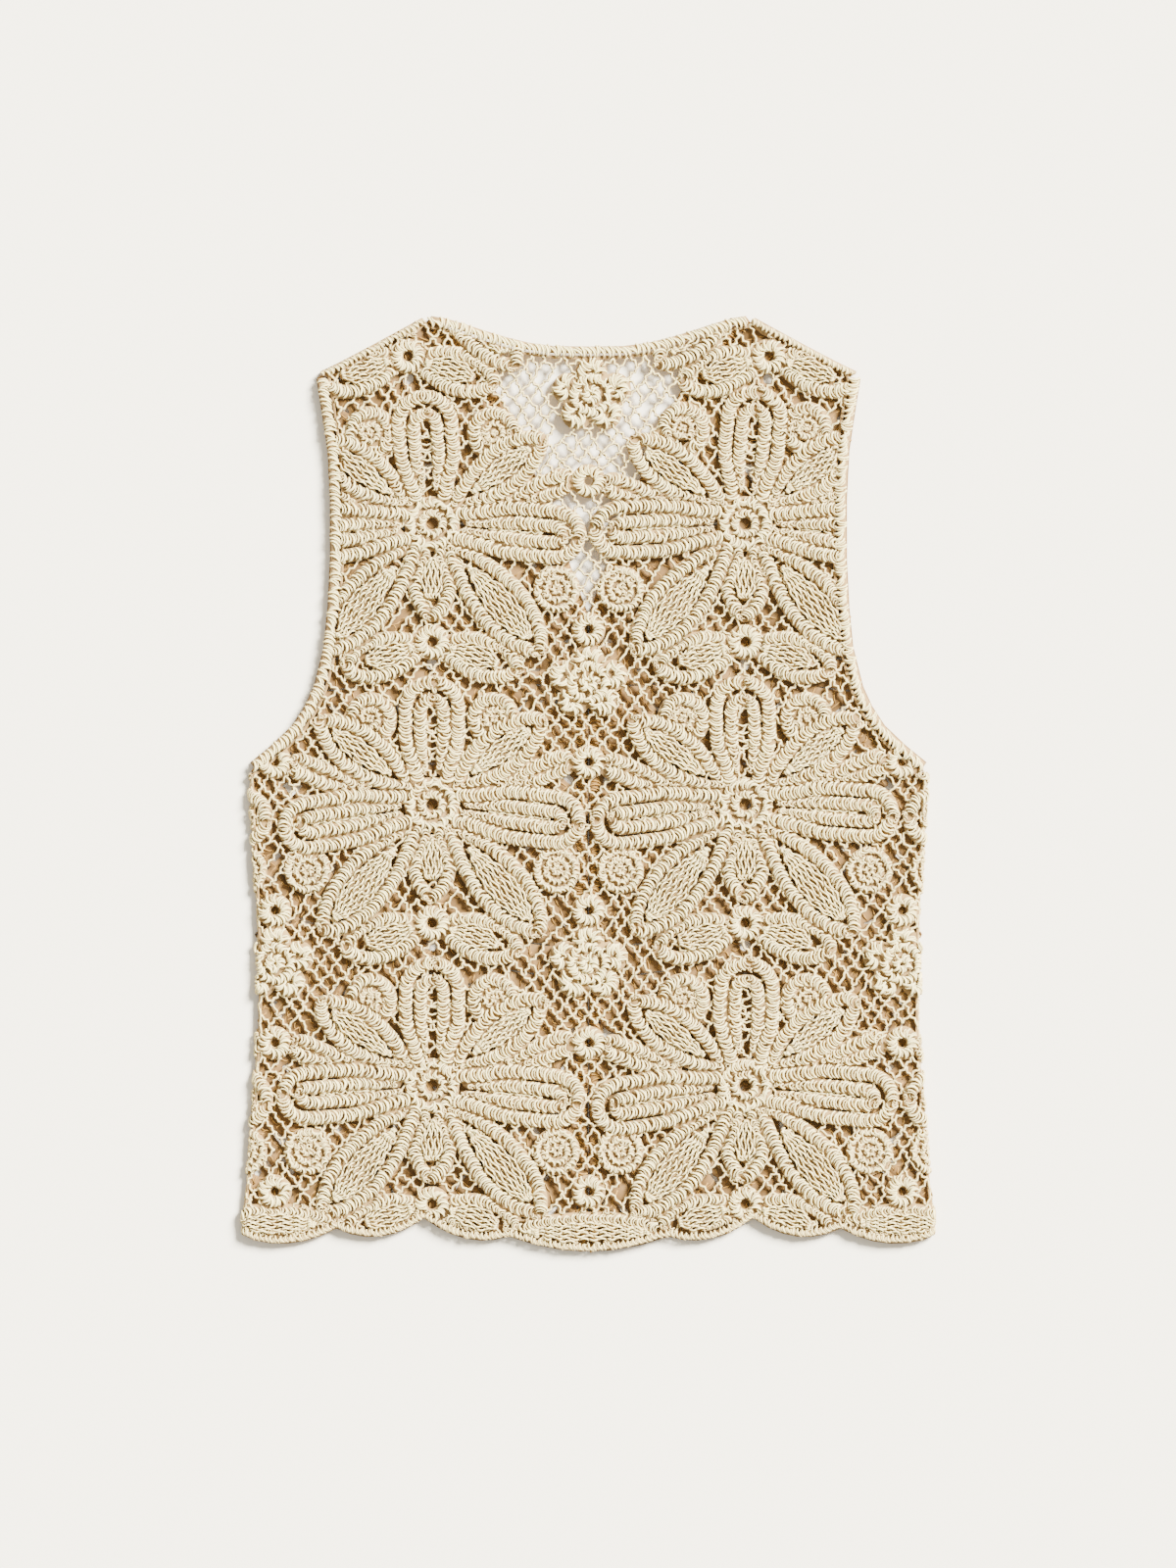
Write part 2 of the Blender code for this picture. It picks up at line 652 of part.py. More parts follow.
def main():
    clear_scene()
    parts = bpy.data.collections.new("crochet_top")
    guides = bpy.data.collections.new("guides")
    bpy.context.scene.collection.children.link(parts)
    bpy.context.scene.collection.children.link(guides)
    cream = yarn("cream_yarn", (0.86, 0.80, 0.68))
    shaded = yarn("tan_yarn", (0.60, 0.45, 0.29))
    lace = motifs() + net_chains()

    outline = back_outline()
    holes = gaps(lace_field(lace, outline), outline, BACK_HOLES)
    extra = relief_points(lace, outline, holes)
    panel(
        "back_panel", outline, holes, extra,
        lambda x, y: BACK_BASE + swell(x, y),
        lambda x, y, lift: BACK_BASE + swell(x, y) + BACK_WALL + lift,
        cream, parts,
    )

    front = front_outline()
    front_lace = [(piece[0] - (0.0, FRONT_DROP), *piece[1:]) for piece in motifs()] + net_chains()
    front_holes = gaps(lace_field(front_lace, outline), front, FRONT_HOLES)
    for name, side in (("front_right_panel", 1), ("front_left_panel", -1)):
        flip = (side, 1)
        rim = front[:: side] * flip
        cut = [hole[:: side] * flip for hole in front_holes]
        panel(name, rim, cut, [], lambda x, y: 0.0, lambda x, y, lift: FRONT_THICK, shaded, parts)

    path = back_paths()
    back_section = band_section("back_edging_section", BACK_WALL + 0.8 * MM, guides)
    front_section = band_section("front_edging_section", FRONT_THICK, guides)
    back_height = BACK_BASE + (BACK_WALL + 0.8 * MM) / 2
    edging("back_neck_edging", path["neck"], back_height, back_section, cream, parts)
    for name, flip in (("right", False), ("left", True)):
        arm = mirrored(path["armhole"]) if flip else path["armhole"]
        edge = mirrored(front_edge()[::-1]) if flip else front_edge()[::-1]
        edging(f"back_armhole_edging_{name}", arm, back_height, back_section, cream, parts)
        edging(f"front_armhole_edging_{name}", arm, FRONT_THICK / 2, front_section, shaded, parts)
        edging(f"front_edge_band_{name}", edge, FRONT_THICK / 2, front_section, shaded, parts)


main()
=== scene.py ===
"""The looks of a sleeveless crochet top of joined flower motifs, laid flat and face down.

Metres, +Z up, neck towards +Y, hem towards -Y. Each panel is a thin shell that is open where the lace
is open. On it lie the stitches of the strips, the long strands of the leaves and the chains of the
net, each a swept tube of yarn. The back's stitches run on round the folds at its sides.
"""

import math
from typing import NamedTuple

import bpy
import numpy as np
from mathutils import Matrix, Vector
from mathutils.geometry import delaunay_2d_cdt


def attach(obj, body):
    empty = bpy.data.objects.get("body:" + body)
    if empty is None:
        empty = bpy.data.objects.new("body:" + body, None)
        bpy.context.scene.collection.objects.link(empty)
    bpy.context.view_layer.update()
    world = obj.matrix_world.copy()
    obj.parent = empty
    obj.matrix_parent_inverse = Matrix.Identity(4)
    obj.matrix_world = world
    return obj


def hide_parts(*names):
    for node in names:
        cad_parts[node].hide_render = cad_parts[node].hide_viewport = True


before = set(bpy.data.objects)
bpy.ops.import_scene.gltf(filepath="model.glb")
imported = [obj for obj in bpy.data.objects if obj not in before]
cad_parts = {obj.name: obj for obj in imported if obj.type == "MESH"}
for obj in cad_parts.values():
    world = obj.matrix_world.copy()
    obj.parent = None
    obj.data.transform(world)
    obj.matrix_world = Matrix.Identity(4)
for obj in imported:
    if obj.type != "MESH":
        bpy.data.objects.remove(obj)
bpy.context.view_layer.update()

MM = 0.001

# View
PIXEL = 0.63 * MM
FRAME_HEIGHT = 1600 * PIXEL
CAMERA_HEIGHT = 6.0

# Half of the ground that is worked, across and along
REACH = np.array((0.24, 0.31))

# Cloth
FRONT_THICK = 3.0 * MM
SEAM_GAP = 0.3 * MM
BACK_BASE = FRONT_THICK + SEAM_GAP
SWELL = 1.6 * MM
EDGING = 7.0 * MM
# How far an edging's stitches reach beyond it, and the share of its width that its core fills
ROPE_OVERHANG = 0.9 * MM
BACK_CORE = 0.34
FRONT_CORE = 0.48
BACK_ROPE = 3.9 * MM
BACK_SHELL = 1.1 * MM
FRONT_SHELL = (1.0 * MM, 2.0 * MM)
FOLD_REACH = 4.2 * MM
FOLD_ARC = 3.4 * MM
FOLD_HEIGHT = FRONT_THICK + SEAM_GAP / 2
# How much of their height the folds keep below their middle
FOLD_FLAT = 0.66

# Yarn
PITCH = 4.75 * MM
FRONT_PITCH = 7.0 * MM
LEAF_STRAND = 0.92 * MM
LEAF_ROW = 2.05 * MM
LEAF_STITCH = 3.7 * MM
LEAF_SWAY = 1.35 * MM
LEAF_SPAN = 1.16
# Length of a leaf's strand as a share of its step, and how unevenly it is placed
LEAF_OVERLAP = 1.16
LEAF_UNEVEN = 0.08
CHAIN = 0.82 * MM
FRONT_CHAIN = 1.0 * MM
CHAIN_WAVE = 1.15 * MM
CHAIN_LINK = 5.2 * MM
CHAIN_HEIGHT = 1.25 * MM
KNOT_SPACING = 3.1 * MM
CREST = 3.55 * MM
FOOT = 0.75 * MM
# The strands of one stitch: place along it, share of its half width, points, sides, radius and how far
# below the crest
STITCH = (
    (-0.30, 1.0, 6, 4, 0.76 * MM, 0.0),
    (0.04, 0.84, 5, 3, 0.76 * MM, 0.25 * MM),
    (0.37, 0.78, 5, 3, 0.74 * MM, 0.50 * MM),
)
ROPE_STITCH = ((-0.25, 1.0, 5, 4, 0.74 * MM, 0.0), (0.25, 0.82, 4, 3, 0.78 * MM, 0.3 * MM))
# How far a strand turns from its middle to each end, in radians
STRAND_TURN = 1.32
# How unlike one another strands are: sag, lean, slide across the strip, height and thickness
SAG = (0.40, 0.58)
LEAN = 0.09
SLIDE = 0.12
UNEVEN = 0.10 * MM
THICKNESS = (0.90, 1.12)
TAPER = 0.14
# How high a strand's ends stand, as a share of its crest, and how flat its back is
SHOULDERS = 0.42
FLAT_BACK = 0.55
# Below this crest a stitch is as high on a narrow strip as on a wide one
LOW_CREST = 3.0 * MM
FRONT_LOOP = 0.72 * MM
KNOT = ((-0.30, 1.0, 5, 3, 0.74 * MM, 0.0), (0.25, 0.8, 5, 3, 0.70 * MM, 0.30 * MM))

# Crochet
STRIP_HALF = 4.4 * MM
STITCH_HALF = 4.7 * MM
CORE_HALF = 0.6 * MM
INNER_HALF = STRIP_HALF * 0.94
CHAIN_HALF = 0.55 * MM
FRONT_CHAIN_HALF = 2.5 * MM
NET_CELL = (10.4 * MM, 13.4 * MM)
NET_JITTER = 1.7 * MM
# Share of the net's chains that are left out, so that its cells are uneven
NET_OPEN = 0.10
NET_SPAN = 2.0 * REACH
# How the closed pieces and the curls are worked: pitch as a share of the strips', bow, mess and slant in
# degrees, and lift
WORKED = {
    "ring": {"pitch": 0.7, "mess": 9.0},
    "round": {"pitch": 0.6, "mess": 30.0, "slant": 26.0},
    "hook": {"bow": -1.0, "mess": 8.0},
    "eye": {"pitch": 0.75, "mess": 18.0},
    "collar": {"pitch": 0.75, "mess": 40.0},
    "rose": {"pitch": 0.7, "mess": 28.0, "lift": 0.3 * MM},
    "heart": {"pitch": 0.7, "mess": 28.0, "lift": 0.9 * MM},
}
STRIP_MESS = 7.0
EDGE_SLANT = 24.0
ROPE_SLANT = 26.0
ROPE_MESS = 17.0
ROPE_HALF = 2.6 * MM
ROPE_PITCH = 3.2 * MM
RUNG = 5.0 * MM
DIP = 1.5 * MM
BAR = 0.62 * MM
BAR_HEIGHT = 1.6 * MM
SLOT_LINK = 9.0 * MM

# Repeat of the lace
FLOWER_X = 100.5
FLOWER_ROWS = (166.5, -14.0, -194.5)
ROSE_COLUMNS = (-201.5, 0.0, 201.5)
# The whole flowers in mm and degrees: middle, how far the upright, right and left petals lean, and how
# much the upright one is stretched
FLOWERS = (
    (-FLOWER_X, FLOWER_ROWS[0], (4.0, -5.0, 6.0), 3.0),
    (FLOWER_X, FLOWER_ROWS[0], (-5.0, -6.0, 3.0), 6.0),
    (-FLOWER_X, FLOWER_ROWS[1], (0.0, -7.0, 9.5), 0.0),
    (FLOWER_X, FLOWER_ROWS[1], (1.5, -4.0, 7.5), 0.0),
    (-FLOWER_X, FLOWER_ROWS[2], (0.0, -6.0, 4.5), 0.0),
    (FLOWER_X, FLOWER_ROWS[2], (-1.0, -5.6, 9.5), 0.0),
    (-116.0, 350.0, (0.0, 0.0, 0.0), 0.0),
    (116.0, 350.0, (0.0, 0.0, 0.0), 0.0),
)
# How far below a flower's middle its ring with two leaves lies, in mm
RING_BELOW = 76.0
# In mm from a row of flowers: the rings of the rose columns, and the roses
RING_STEPS = (27.5, -68.0)
ROSE_BELOW = 102.0
NECK_ROSE = (2.0 * MM, 249.0 * MM)
# The fronts' flowers lie half a repeat lower than the back's
FRONT_DROP = 90.25 * MM
# Hem leaves: x and y of the root in mm, length and half width
HEM_LEAVES = ((-52.0, -289.0, 104.0, 9.0), (162.0, -283.0, 76.0, 8.5))
# Petals of a flower, in mm and degrees from its middle. half: half width at the strip's middle line.
# kind, direction, root, tip, half, bend
PETALS = (
    ("nested", 90.0, 15.0, 79.0, 17.0, 0.0),
    ("nested", 0.0, 15.0, 95.0, 14.8, 0.0),
    ("nested", 180.0, 15.0, 96.0, 14.6, 0.0),
    ("leaf", 38.0, 17.0, 88.5, 12.2, 0.0),
    ("leaf", 143.5, 17.0, 88.5, 12.2, 0.0),
    ("leaf", -49.5, 17.0, 106.0, 14.4, 0.0),
    ("leaf", 229.5, 17.0, 106.0, 14.4, 0.0),
    ("short", -90.0, 17.0, 59.0, 11.2, 0.0),
    ("slim", 22.5, 46.0, 92.0, 4.4, -7.0),
    ("slim", 158.0, 46.0, 92.0, 4.4, 9.0),
)

# Half outlines in mm, from the middle outwards or down: x, y
NECK = ((0, 281.6), (22, 281.9), (38, 284), (52, 287.4), (66, 291.6), (80, 296.2), (92, 299.8), (101, 301.2))
SHOULDER = ((107, 299), (140, 281), (160, 270.5), (172.5, 264.4))
ARMHOLE = (
    (175, 259.5), (171.7, 238.8), (167.9, 213.6), (166.3, 182), (166.3, 144.3), (167.9, 112.8),
    (170.4, 87.6), (176.7, 62.4), (182.4, 49.8), (190.6, 37.2), (203.8, 24.6), (217.5, 13.4),
)
SIDE = (
    (219.8, 6), (217.5, -40), (215.5, -80), (214.2, -120), (214.8, -160), (217, -200),
    (220.2, -240), (223.6, -272),
)
FRONT_NECK = ((101, 300), (86, 288), (69, 269), (52, 239), (36, 203), (18, 158), (4.2, 120))
# Hem scallops from the side to the middle: x, y of the notch, and y of the lowest point beside it
SCALLOPS = (
    (225.4, -290.0, -296.0), (162.0, -286.3, -291.5), (105.8, -279.7, -293.0), (51.3, -291.5, -301.25),
)

# Soft creases of the back in mm: middle, direction in degrees, half length, half width and height
CREASES = (
    (-38.0, 163.0, 88.0, 42.0, 7.0, -0.9),
    (203.0, -92.0, 15.0, 26.0, 8.0, 0.9),
    (200.0, -128.0, -8.0, 30.0, 9.0, -0.8),
    (204.0, -166.0, 20.0, 28.0, 8.0, 0.8),
    (-203.0, -60.0, 80.0, 38.0, 9.0, 0.7),
    (-196.0, -182.0, -24.0, 30.0, 9.0, -0.7),
    (148.0, 74.0, -52.0, 44.0, 11.0, 0.8),
    (-146.0, 66.0, 57.0, 38.0, 10.0, -0.7),
    (52.0, 36.0, 78.0, 58.0, 9.0, -0.6),
    (-72.0, -252.0, 8.0, 50.0, 10.0, 0.6),
    (96.0, -236.0, -14.0, 44.0, 9.0, -0.6),
)

# Gaps of the lace
FIELD_STEP = 0.6 * MM
FIELD_REACH = 3.0 * MM
MARGIN = 1.8 * MM
LEAST_SLIT = 0.5 * MM
HOLE_TOLERANCE = 0.22 * MM
# How high a shell counts between the deepest place, 0, and the crests, 1, so that it is painted the dark
# brown of painted shade under the strands; and its even tone
SHELL_PAINTED_SHADE = 0.22
EVEN_SHADE = 0.5

rng = np.random.default_rng(21)


# Plane shapes


def smooth(t):
    t = np.clip(t, 0.0, 1.0)
    return t * t * (3.0 - 2.0 * t)


def placed(points, angle, centre):
    """Points in millimetres turned by an angle and moved to a centre in metres."""
    a = math.radians(angle)
    points = np.asarray(points, float) * MM
    x = points[:, 0] * math.cos(a) - points[:, 1] * math.sin(a)
    y = points[:, 0] * math.sin(a) + points[:, 1] * math.cos(a)
    return np.column_stack([x + centre[0], y + centre[1]])


def u_loop(root, tip, half, neck):
    """A loop whose sides part from a narrow root, run side by side and close in a round end."""
    cap = tip - half
    u = np.linspace(root, cap, 18)
    v = half * (neck + (1.0 - neck) * smooth((u - root) / (0.62 * (cap - root))))
    side = np.column_stack([u, v])
    a = np.linspace(0.0, math.pi, 11)[1:-1]
    end = np.column_stack([cap + half * np.sin(a), half * np.cos(a)])
    return np.vstack([side, end, side[::-1] * (1, -1)])


def leaf_loop(root, tip, half, blunt, neck=0.1, bend=0.0, skew=1.12):
    """A leaf's outline round the tip and back. More skew puts its widest place nearer the tip."""
    s = np.linspace(0.0, 1.0, 28)
    t = 0.5 - 0.5 * np.cos(math.pi * s)
    v = np.maximum(half * np.sin(math.pi * t**skew) ** blunt, half * neck * (1.0 - s))
    u = root + (tip - root) * t
    b = bend * np.sin(math.pi * t)
    return np.vstack([np.column_stack([u, b + v]), np.column_stack([u, b - v])[::-1][1:]])


def polar(radius, angle):
    return np.column_stack([radius * np.cos(angle), radius * np.sin(angle)])


def circle(radius, count):
    return polar(radius, np.linspace(0.0, 2.0 * math.pi, count, endpoint=False))


def curled(radii, hand, start, turns, count):
    """A line that winds inwards from beside a petal. start: how far from straight up, in degrees."""
    t = np.linspace(0.0, 1.0, count)
    a = math.radians(90.0 - hand * start) + hand * 2.0 * math.pi * turns * t
    return polar(radii[0] * (radii[1] - radii[2] * t), a)


def mirrored(points):
    return np.asarray(points)[::-1] * (-1, 1)


def unit(vectors):
    return vectors / np.linalg.norm(vectors, axis=1)[:, None]


def left_of(ahead):
    return np.column_stack([-ahead[:, 1], ahead[:, 0]])


def normals(path):
    """Unit normals of an open path, on its right-hand side."""
    return -left_of(unit(np.gradient(np.asarray(path, float), axis=0)))


def evenly(path, spacing, closed=False):
    """Evenly spaced points of a path, their directions and the true spacing."""
    path = np.vstack([path, path[:1]]) if closed else path
    run = np.concatenate([[0.0], np.cumsum(np.hypot(*np.diff(path, axis=0).T))])
    count = max(1, round(run[-1] / spacing))
    at = (np.arange(count) + 0.5) * run[-1] / count
    step = 0.3 * run[-1] / count

    def point(s):
        return np.column_stack([np.interp(s, run, path[:, 0]), np.interp(s, run, path[:, 1])])

    ahead = unit(point(np.minimum(at + step, run[-1])) - point(np.maximum(at - step, 0.0)))
    return point(at), ahead, run[-1] / count


def inside(x, y, loop):
    """Whether each point lies within a closed loop, by counting crossings."""
    odd = np.zeros(np.shape(x), bool)
    for (x0, y0), (x1, y1) in zip(loop, np.roll(loop, -1, axis=0)):
        if y0 != y1:
            odd ^= ((y0 > y) != (y1 > y)) & (x < (x1 - x0) * (y - y0) / (y1 - y0) + x0)
    return odd


# Lace layout


class Lace(NamedTuple):
    """A piece of the lace: its line, half width, and what it is worked in."""

    points: np.ndarray
    half: float
    kind: str = "arms"
    closed: bool = False
    filled: bool = False
    rank: int = 5


def round_piece(radius, half, kind, centre, rank, filled=False, count=18):
    """A ring of a radius and a half width in mm round a centre in metres."""
    return Lace(placed(circle(radius, count), 0.0, centre), half * MM, kind, True, filled, rank)


def leaf(rim, core):
    """A strip round a leaf's middle."""
    return [Lace(rim, STRIP_HALF), Lace(core, CORE_HALF, "core", True, True)]


def petal(kind, angle, root, tip, half, bend, centre):
    if kind == "nested":
        outer = placed(u_loop(root, tip, half, 0.55), angle, centre)
        inner = placed(u_loop(root + 8.0, tip - 11.5, half - 9.6, 0.9), angle, centre)
        slot = placed([(root + 22.0, 0.0), (tip - 24.0, 0.0)], angle, centre)
        rungs = "ladder" if half > 16.0 else "wavy"
        return [
            Lace(outer, STRIP_HALF, rank=3), Lace(inner, INNER_HALF, rank=4),
            Lace(slot, (half - 9.6) * MM - INNER_HALF, rungs),
        ]
    if kind == "leaf":
        rim = placed(leaf_loop(root, tip, half, 0.62, bend=bend, skew=1.3), angle, centre)
        core = leaf_loop(root + 0.22 * (tip - root), tip - 9.0, half - 6.9, 0.7, bend=bend, skew=1.2)
        return leaf(rim, placed(core, angle, centre))
    if kind == "short":
        rim = placed(leaf_loop(root, tip, half, 0.62, 0.6), angle, centre)
        core = placed(leaf_loop(root + 5.0, tip - 10.0, 5.4, 0.55), angle, centre)
        return leaf(rim, core)
    return [Lace(placed(u_loop(root, tip, half, 0.8) + (0.0, bend), angle, centre), STRIP_HALF, rank=6)]


def ring_with_leaves(centre):
    found = [round_piece(7.4, 4.2, "ring", centre, 2)]
    for angle in (197.0, -17.0):
        rim = placed(leaf_loop(8.5, 57.0, 11.6, 0.52, 0.3), angle, centre)
        found += leaf(rim, placed(leaf_loop(12.0, 45.0, 6.0, 0.62), angle, centre))
    return found


def disc(centre):
    rounds = [round_piece(*size, "round", centre, 7) for size in ((12.4, 2.8), (7.2, 2.5), (2.5, 2.3))]
    return [round_piece(7.6, 7.6, "ground", centre, 5, True), *rounds]


def flower(centre, turns, tall=0.0):
    """Ten petals round a ringed hole. turns: how far its first three petals lean, in degrees."""
    found = []
    for (kind, angle, root, tip, half, bend), turn in zip(PETALS, (*turns, *[0.0] * 7)):
        longer = tall if angle == 90.0 else 0.0
        found += petal(kind, angle + turn, root, tip + longer, half, bend, centre)
    found.append(round_piece(6.8, 3.0, "eye", centre, 1))
    found.append(round_piece(13.6, 4.2, "collar", centre, 1, count=24))
    for hand in (-1, 1):
        snail = (centre[0] - hand * 36.5 * MM, centre[1] + (57.0 + tall) * MM)
        line = curled((10.6, 1.0, 0.82), hand, 150.0, 1.35, 26)
        found.append(Lace(placed(line, 0.0, snail), 4.6 * MM, "ground"))
        curl = (centre[0] - hand * 40.0 * MM, centre[1] + (55.5 + tall) * MM)
        line = curled((12.4, 1.12, 0.18), hand, 160.0, 0.80, 22)
        found.append(Lace(placed(line, 0.0, curl), STRIP_HALF, "hook", rank=7))
        found += [round_piece(*size, "round", curl, 8) for size in ((5.6, 2.4), (1.6, 1.7))]
        found += disc((centre[0] - hand * 80.0 * MM, centre[1] - 42.0 * MM))
    return found + ring_with_leaves((centre[0], centre[1] - RING_BELOW * MM))


def rose(centre):
    """A lumpy rose: a heart and a ring on filled ground, with five lobes round them."""
    found = [
        round_piece(13.0, 3.0, "ground", centre, 5, True), round_piece(3.9, 3.4, "heart", centre, 1),
        round_piece(11.0, 3.7, "rose", centre, 2),
    ]
    for k in range(5):
        a = math.radians(90.0 + 72.0 * k)
        lobe = (centre[0] + 16.0 * MM * math.cos(a), centre[1] + 14.5 * MM * math.sin(a))
        found.append(round_piece(5.6, 4.6, "rose", lobe, 8, True))
    return found


def motifs():
    """Every piece of the lace, in one layout for the back and the fronts."""
    found = []
    for x, y, turns, tall in FLOWERS:
        found += flower((x * MM, y * MM), turns, tall)
    for row, y in enumerate(FLOWER_ROWS):
        for side in (-1, 1):
            found += flower((side * 3.0 * FLOWER_X * MM, y * MM), (0.0, -6.0, 6.0))
        for x in ROSE_COLUMNS:
            for step in RING_STEPS:
                found.append(round_piece(6.9, 4.1, "ring", (x * MM, (y + step) * MM), 2))
            if row < 2:
                found += rose((x * MM, (y - ROSE_BELOW) * MM))
    found += rose(NECK_ROSE)
    for x, y, length, half in HEM_LEAVES:
        for flip in (1, -1)[: 2 if x > 0 else 1]:
            root = np.array((x * MM, y * MM))
            whole, rim, core = (
                placed(leaf_loop(inset, length - inset, half - less, blunt, 0.3), 0.0, root) * (flip, 1)
                for inset, less, blunt in ((0.0, 0.0, 0.5), (4.0, 0.5, 0.5), (13.0, 3.6, 0.6))
            )
            found.append(Lace(whole, STRIP_HALF, "ground", True, True))
            found.append(Lace(rim, STRIP_HALF * 0.85, rank=2))
            found.append(Lace(core, CORE_HALF, "core", True, True))
    return found


def crossing(i, j, shift):
    """Where two chains of the net cross: every second row stands half a cell aside."""
    wide, high = NET_CELL
    x = (i + 0.5 * (j % 2)) * wide - NET_SPAN[0] / 2
    y = j * high / 2 - NET_SPAN[1] / 2
    return (x + shift[j, i, 0], y + shift[j, i, 1])


def net_chains(aside=0.0):
    """Chains of the diamond net that fills all the gaps, each with its crossings moved a little."""
    moved = np.random.default_rng(7)
    wide, high = NET_CELL
    columns = int(NET_SPAN[0] / wide)
    rows = int(NET_SPAN[1] / (high / 2))
    shift = moved.uniform(-NET_JITTER, NET_JITTER, (rows + 1, columns + 2, 2))
    chains = []
    for j in range(rows):
        for i in range(columns + 1):
            here = crossing(i, j, shift)
            for k in ((i, j + 1), (i + (1 if j % 2 else -1), j + 1)):
                if 0 <= k[0] <= columns and moved.uniform() > NET_OPEN:
                    chains.append(np.array([here, crossing(*k, shift)]) + (aside, 0.0))
    return chains


# Outlines


def hem_half():
    """The scalloped hem from the side seam to the middle."""
    points = []
    ends = [*SCALLOPS, (-SCALLOPS[-1][0], SCALLOPS[-1][1], 0.0)]
    for (x0, y0, low), (x1, y1, _) in zip(ends[:-1], ends[1:]):
        for t in np.linspace(0.0, 1.0, 7)[:-1]:
            x = x0 + (x1 - x0) * t
            if x < -0.01:
                break
            y = y0 + (y1 - y0) * t + (low - (y0 + y1) / 2) * (1.0 - (2.0 * t - 1.0) ** 2)
            points.append((x, y))
    return np.array(points)


def moved_in(path, distance):
    """A path moved to its right-hand side."""
    return path + normals(path) * distance


NECK_PATH = np.vstack([mirrored(NECK)[:-1], NECK]) * MM
SHOULDER_PATH = np.array(SHOULDER) * MM
ARMHOLE_PATH = np.array(ARMHOLE) * MM
SIDE_PATH = np.array(SIDE) * MM
HEM_PATH = hem_half() * MM


def back_outline(side_out=0.0, all_in=0.0):
    """Clockwise outline of the back's lace, inside its edgings. side_out moves only the folds out."""
    inner = EDGING + SEAM_GAP + all_in
    half = [
        moved_in(SHOULDER_PATH, all_in), moved_in(ARMHOLE_PATH, inner), moved_in(SIDE_PATH, -side_out),
        moved_in(HEM_PATH, all_in) + (side_out, 0.0) * (HEM_PATH[:, :1] > 0.22),
    ]
    right = np.vstack(half)
    return np.vstack([moved_in(NECK_PATH, inner), right, mirrored(right)[1:]])


def front_edge():
    """The right front's own edge: down the V of the neck, then down the middle to the hem."""
    down = [(0.2, y) for y in (108, 60, 0, -60, -120, -180, -240, -300.8)]
    return np.array([*FRONT_NECK, *down]) * MM


def front_outline(all_in=0.0, side_in=0.0):
    """Clockwise outline of the front at +X inside its bands, starting where its edge meets the hem."""
    inner = EDGING + SEAM_GAP + all_in
    hem = moved_in(HEM_PATH, all_in)
    hem = hem[(HEM_PATH[:, 0] > EDGING + 2.0 * MM) & (HEM_PATH[:, 0] < 0.2255 - side_in)]
    return np.vstack([
        moved_in(front_edge()[::-1], inner), moved_in(SHOULDER_PATH, all_in),
        moved_in(ARMHOLE_PATH, inner), moved_in(SIDE_PATH, side_in), hem,
    ])


# Gaps of the lace


class Grid:
    """A square grid over the garment. inset: how far its first point lies in from low, in steps."""

    def __init__(self, low, step, inset):
        self.low = np.array(low)
        self.step = step
        self.rounding = 0.5 - inset
        size = np.ceil(-2.0 * self.low / step).astype(int) + round(2.0 * self.rounding)
        self.x = self.low[0] + (np.arange(size[0]) + inset) * step
        self.y = self.low[1] + (np.arange(size[1]) + inset) * step

    def nearest(self, values, points):
        """The value at the grid point nearest to each point."""
        i = ((points[..., 0] - self.low[0]) / self.step + self.rounding).astype(int)
        j = ((points[..., 1] - self.low[1]) / self.step + self.rounding).astype(int)
        return values[np.clip(j, 0, len(self.y) - 1), np.clip(i, 0, len(self.x) - 1)]

    def window(self, points, reach):
        """Rows and columns of the grid round some points."""
        low = np.floor((points.min(0) - reach - self.low) / self.step).astype(int)
        high = np.ceil((points.max(0) + reach - self.low) / self.step).astype(int) + 1
        x0, y0 = np.maximum(low, 0)
        x1, y1 = np.maximum(high, 0)
        return slice(y0, y1), slice(x0, x1)

    def within(self, loop):
        """A closed loop's window of the grid, and which of its points lie in the loop."""
        rows, cols = self.window(loop, 0.0)
        x, y = np.meshgrid(self.x[cols], self.y[rows])
        return (rows, cols), inside(x, y, loop)


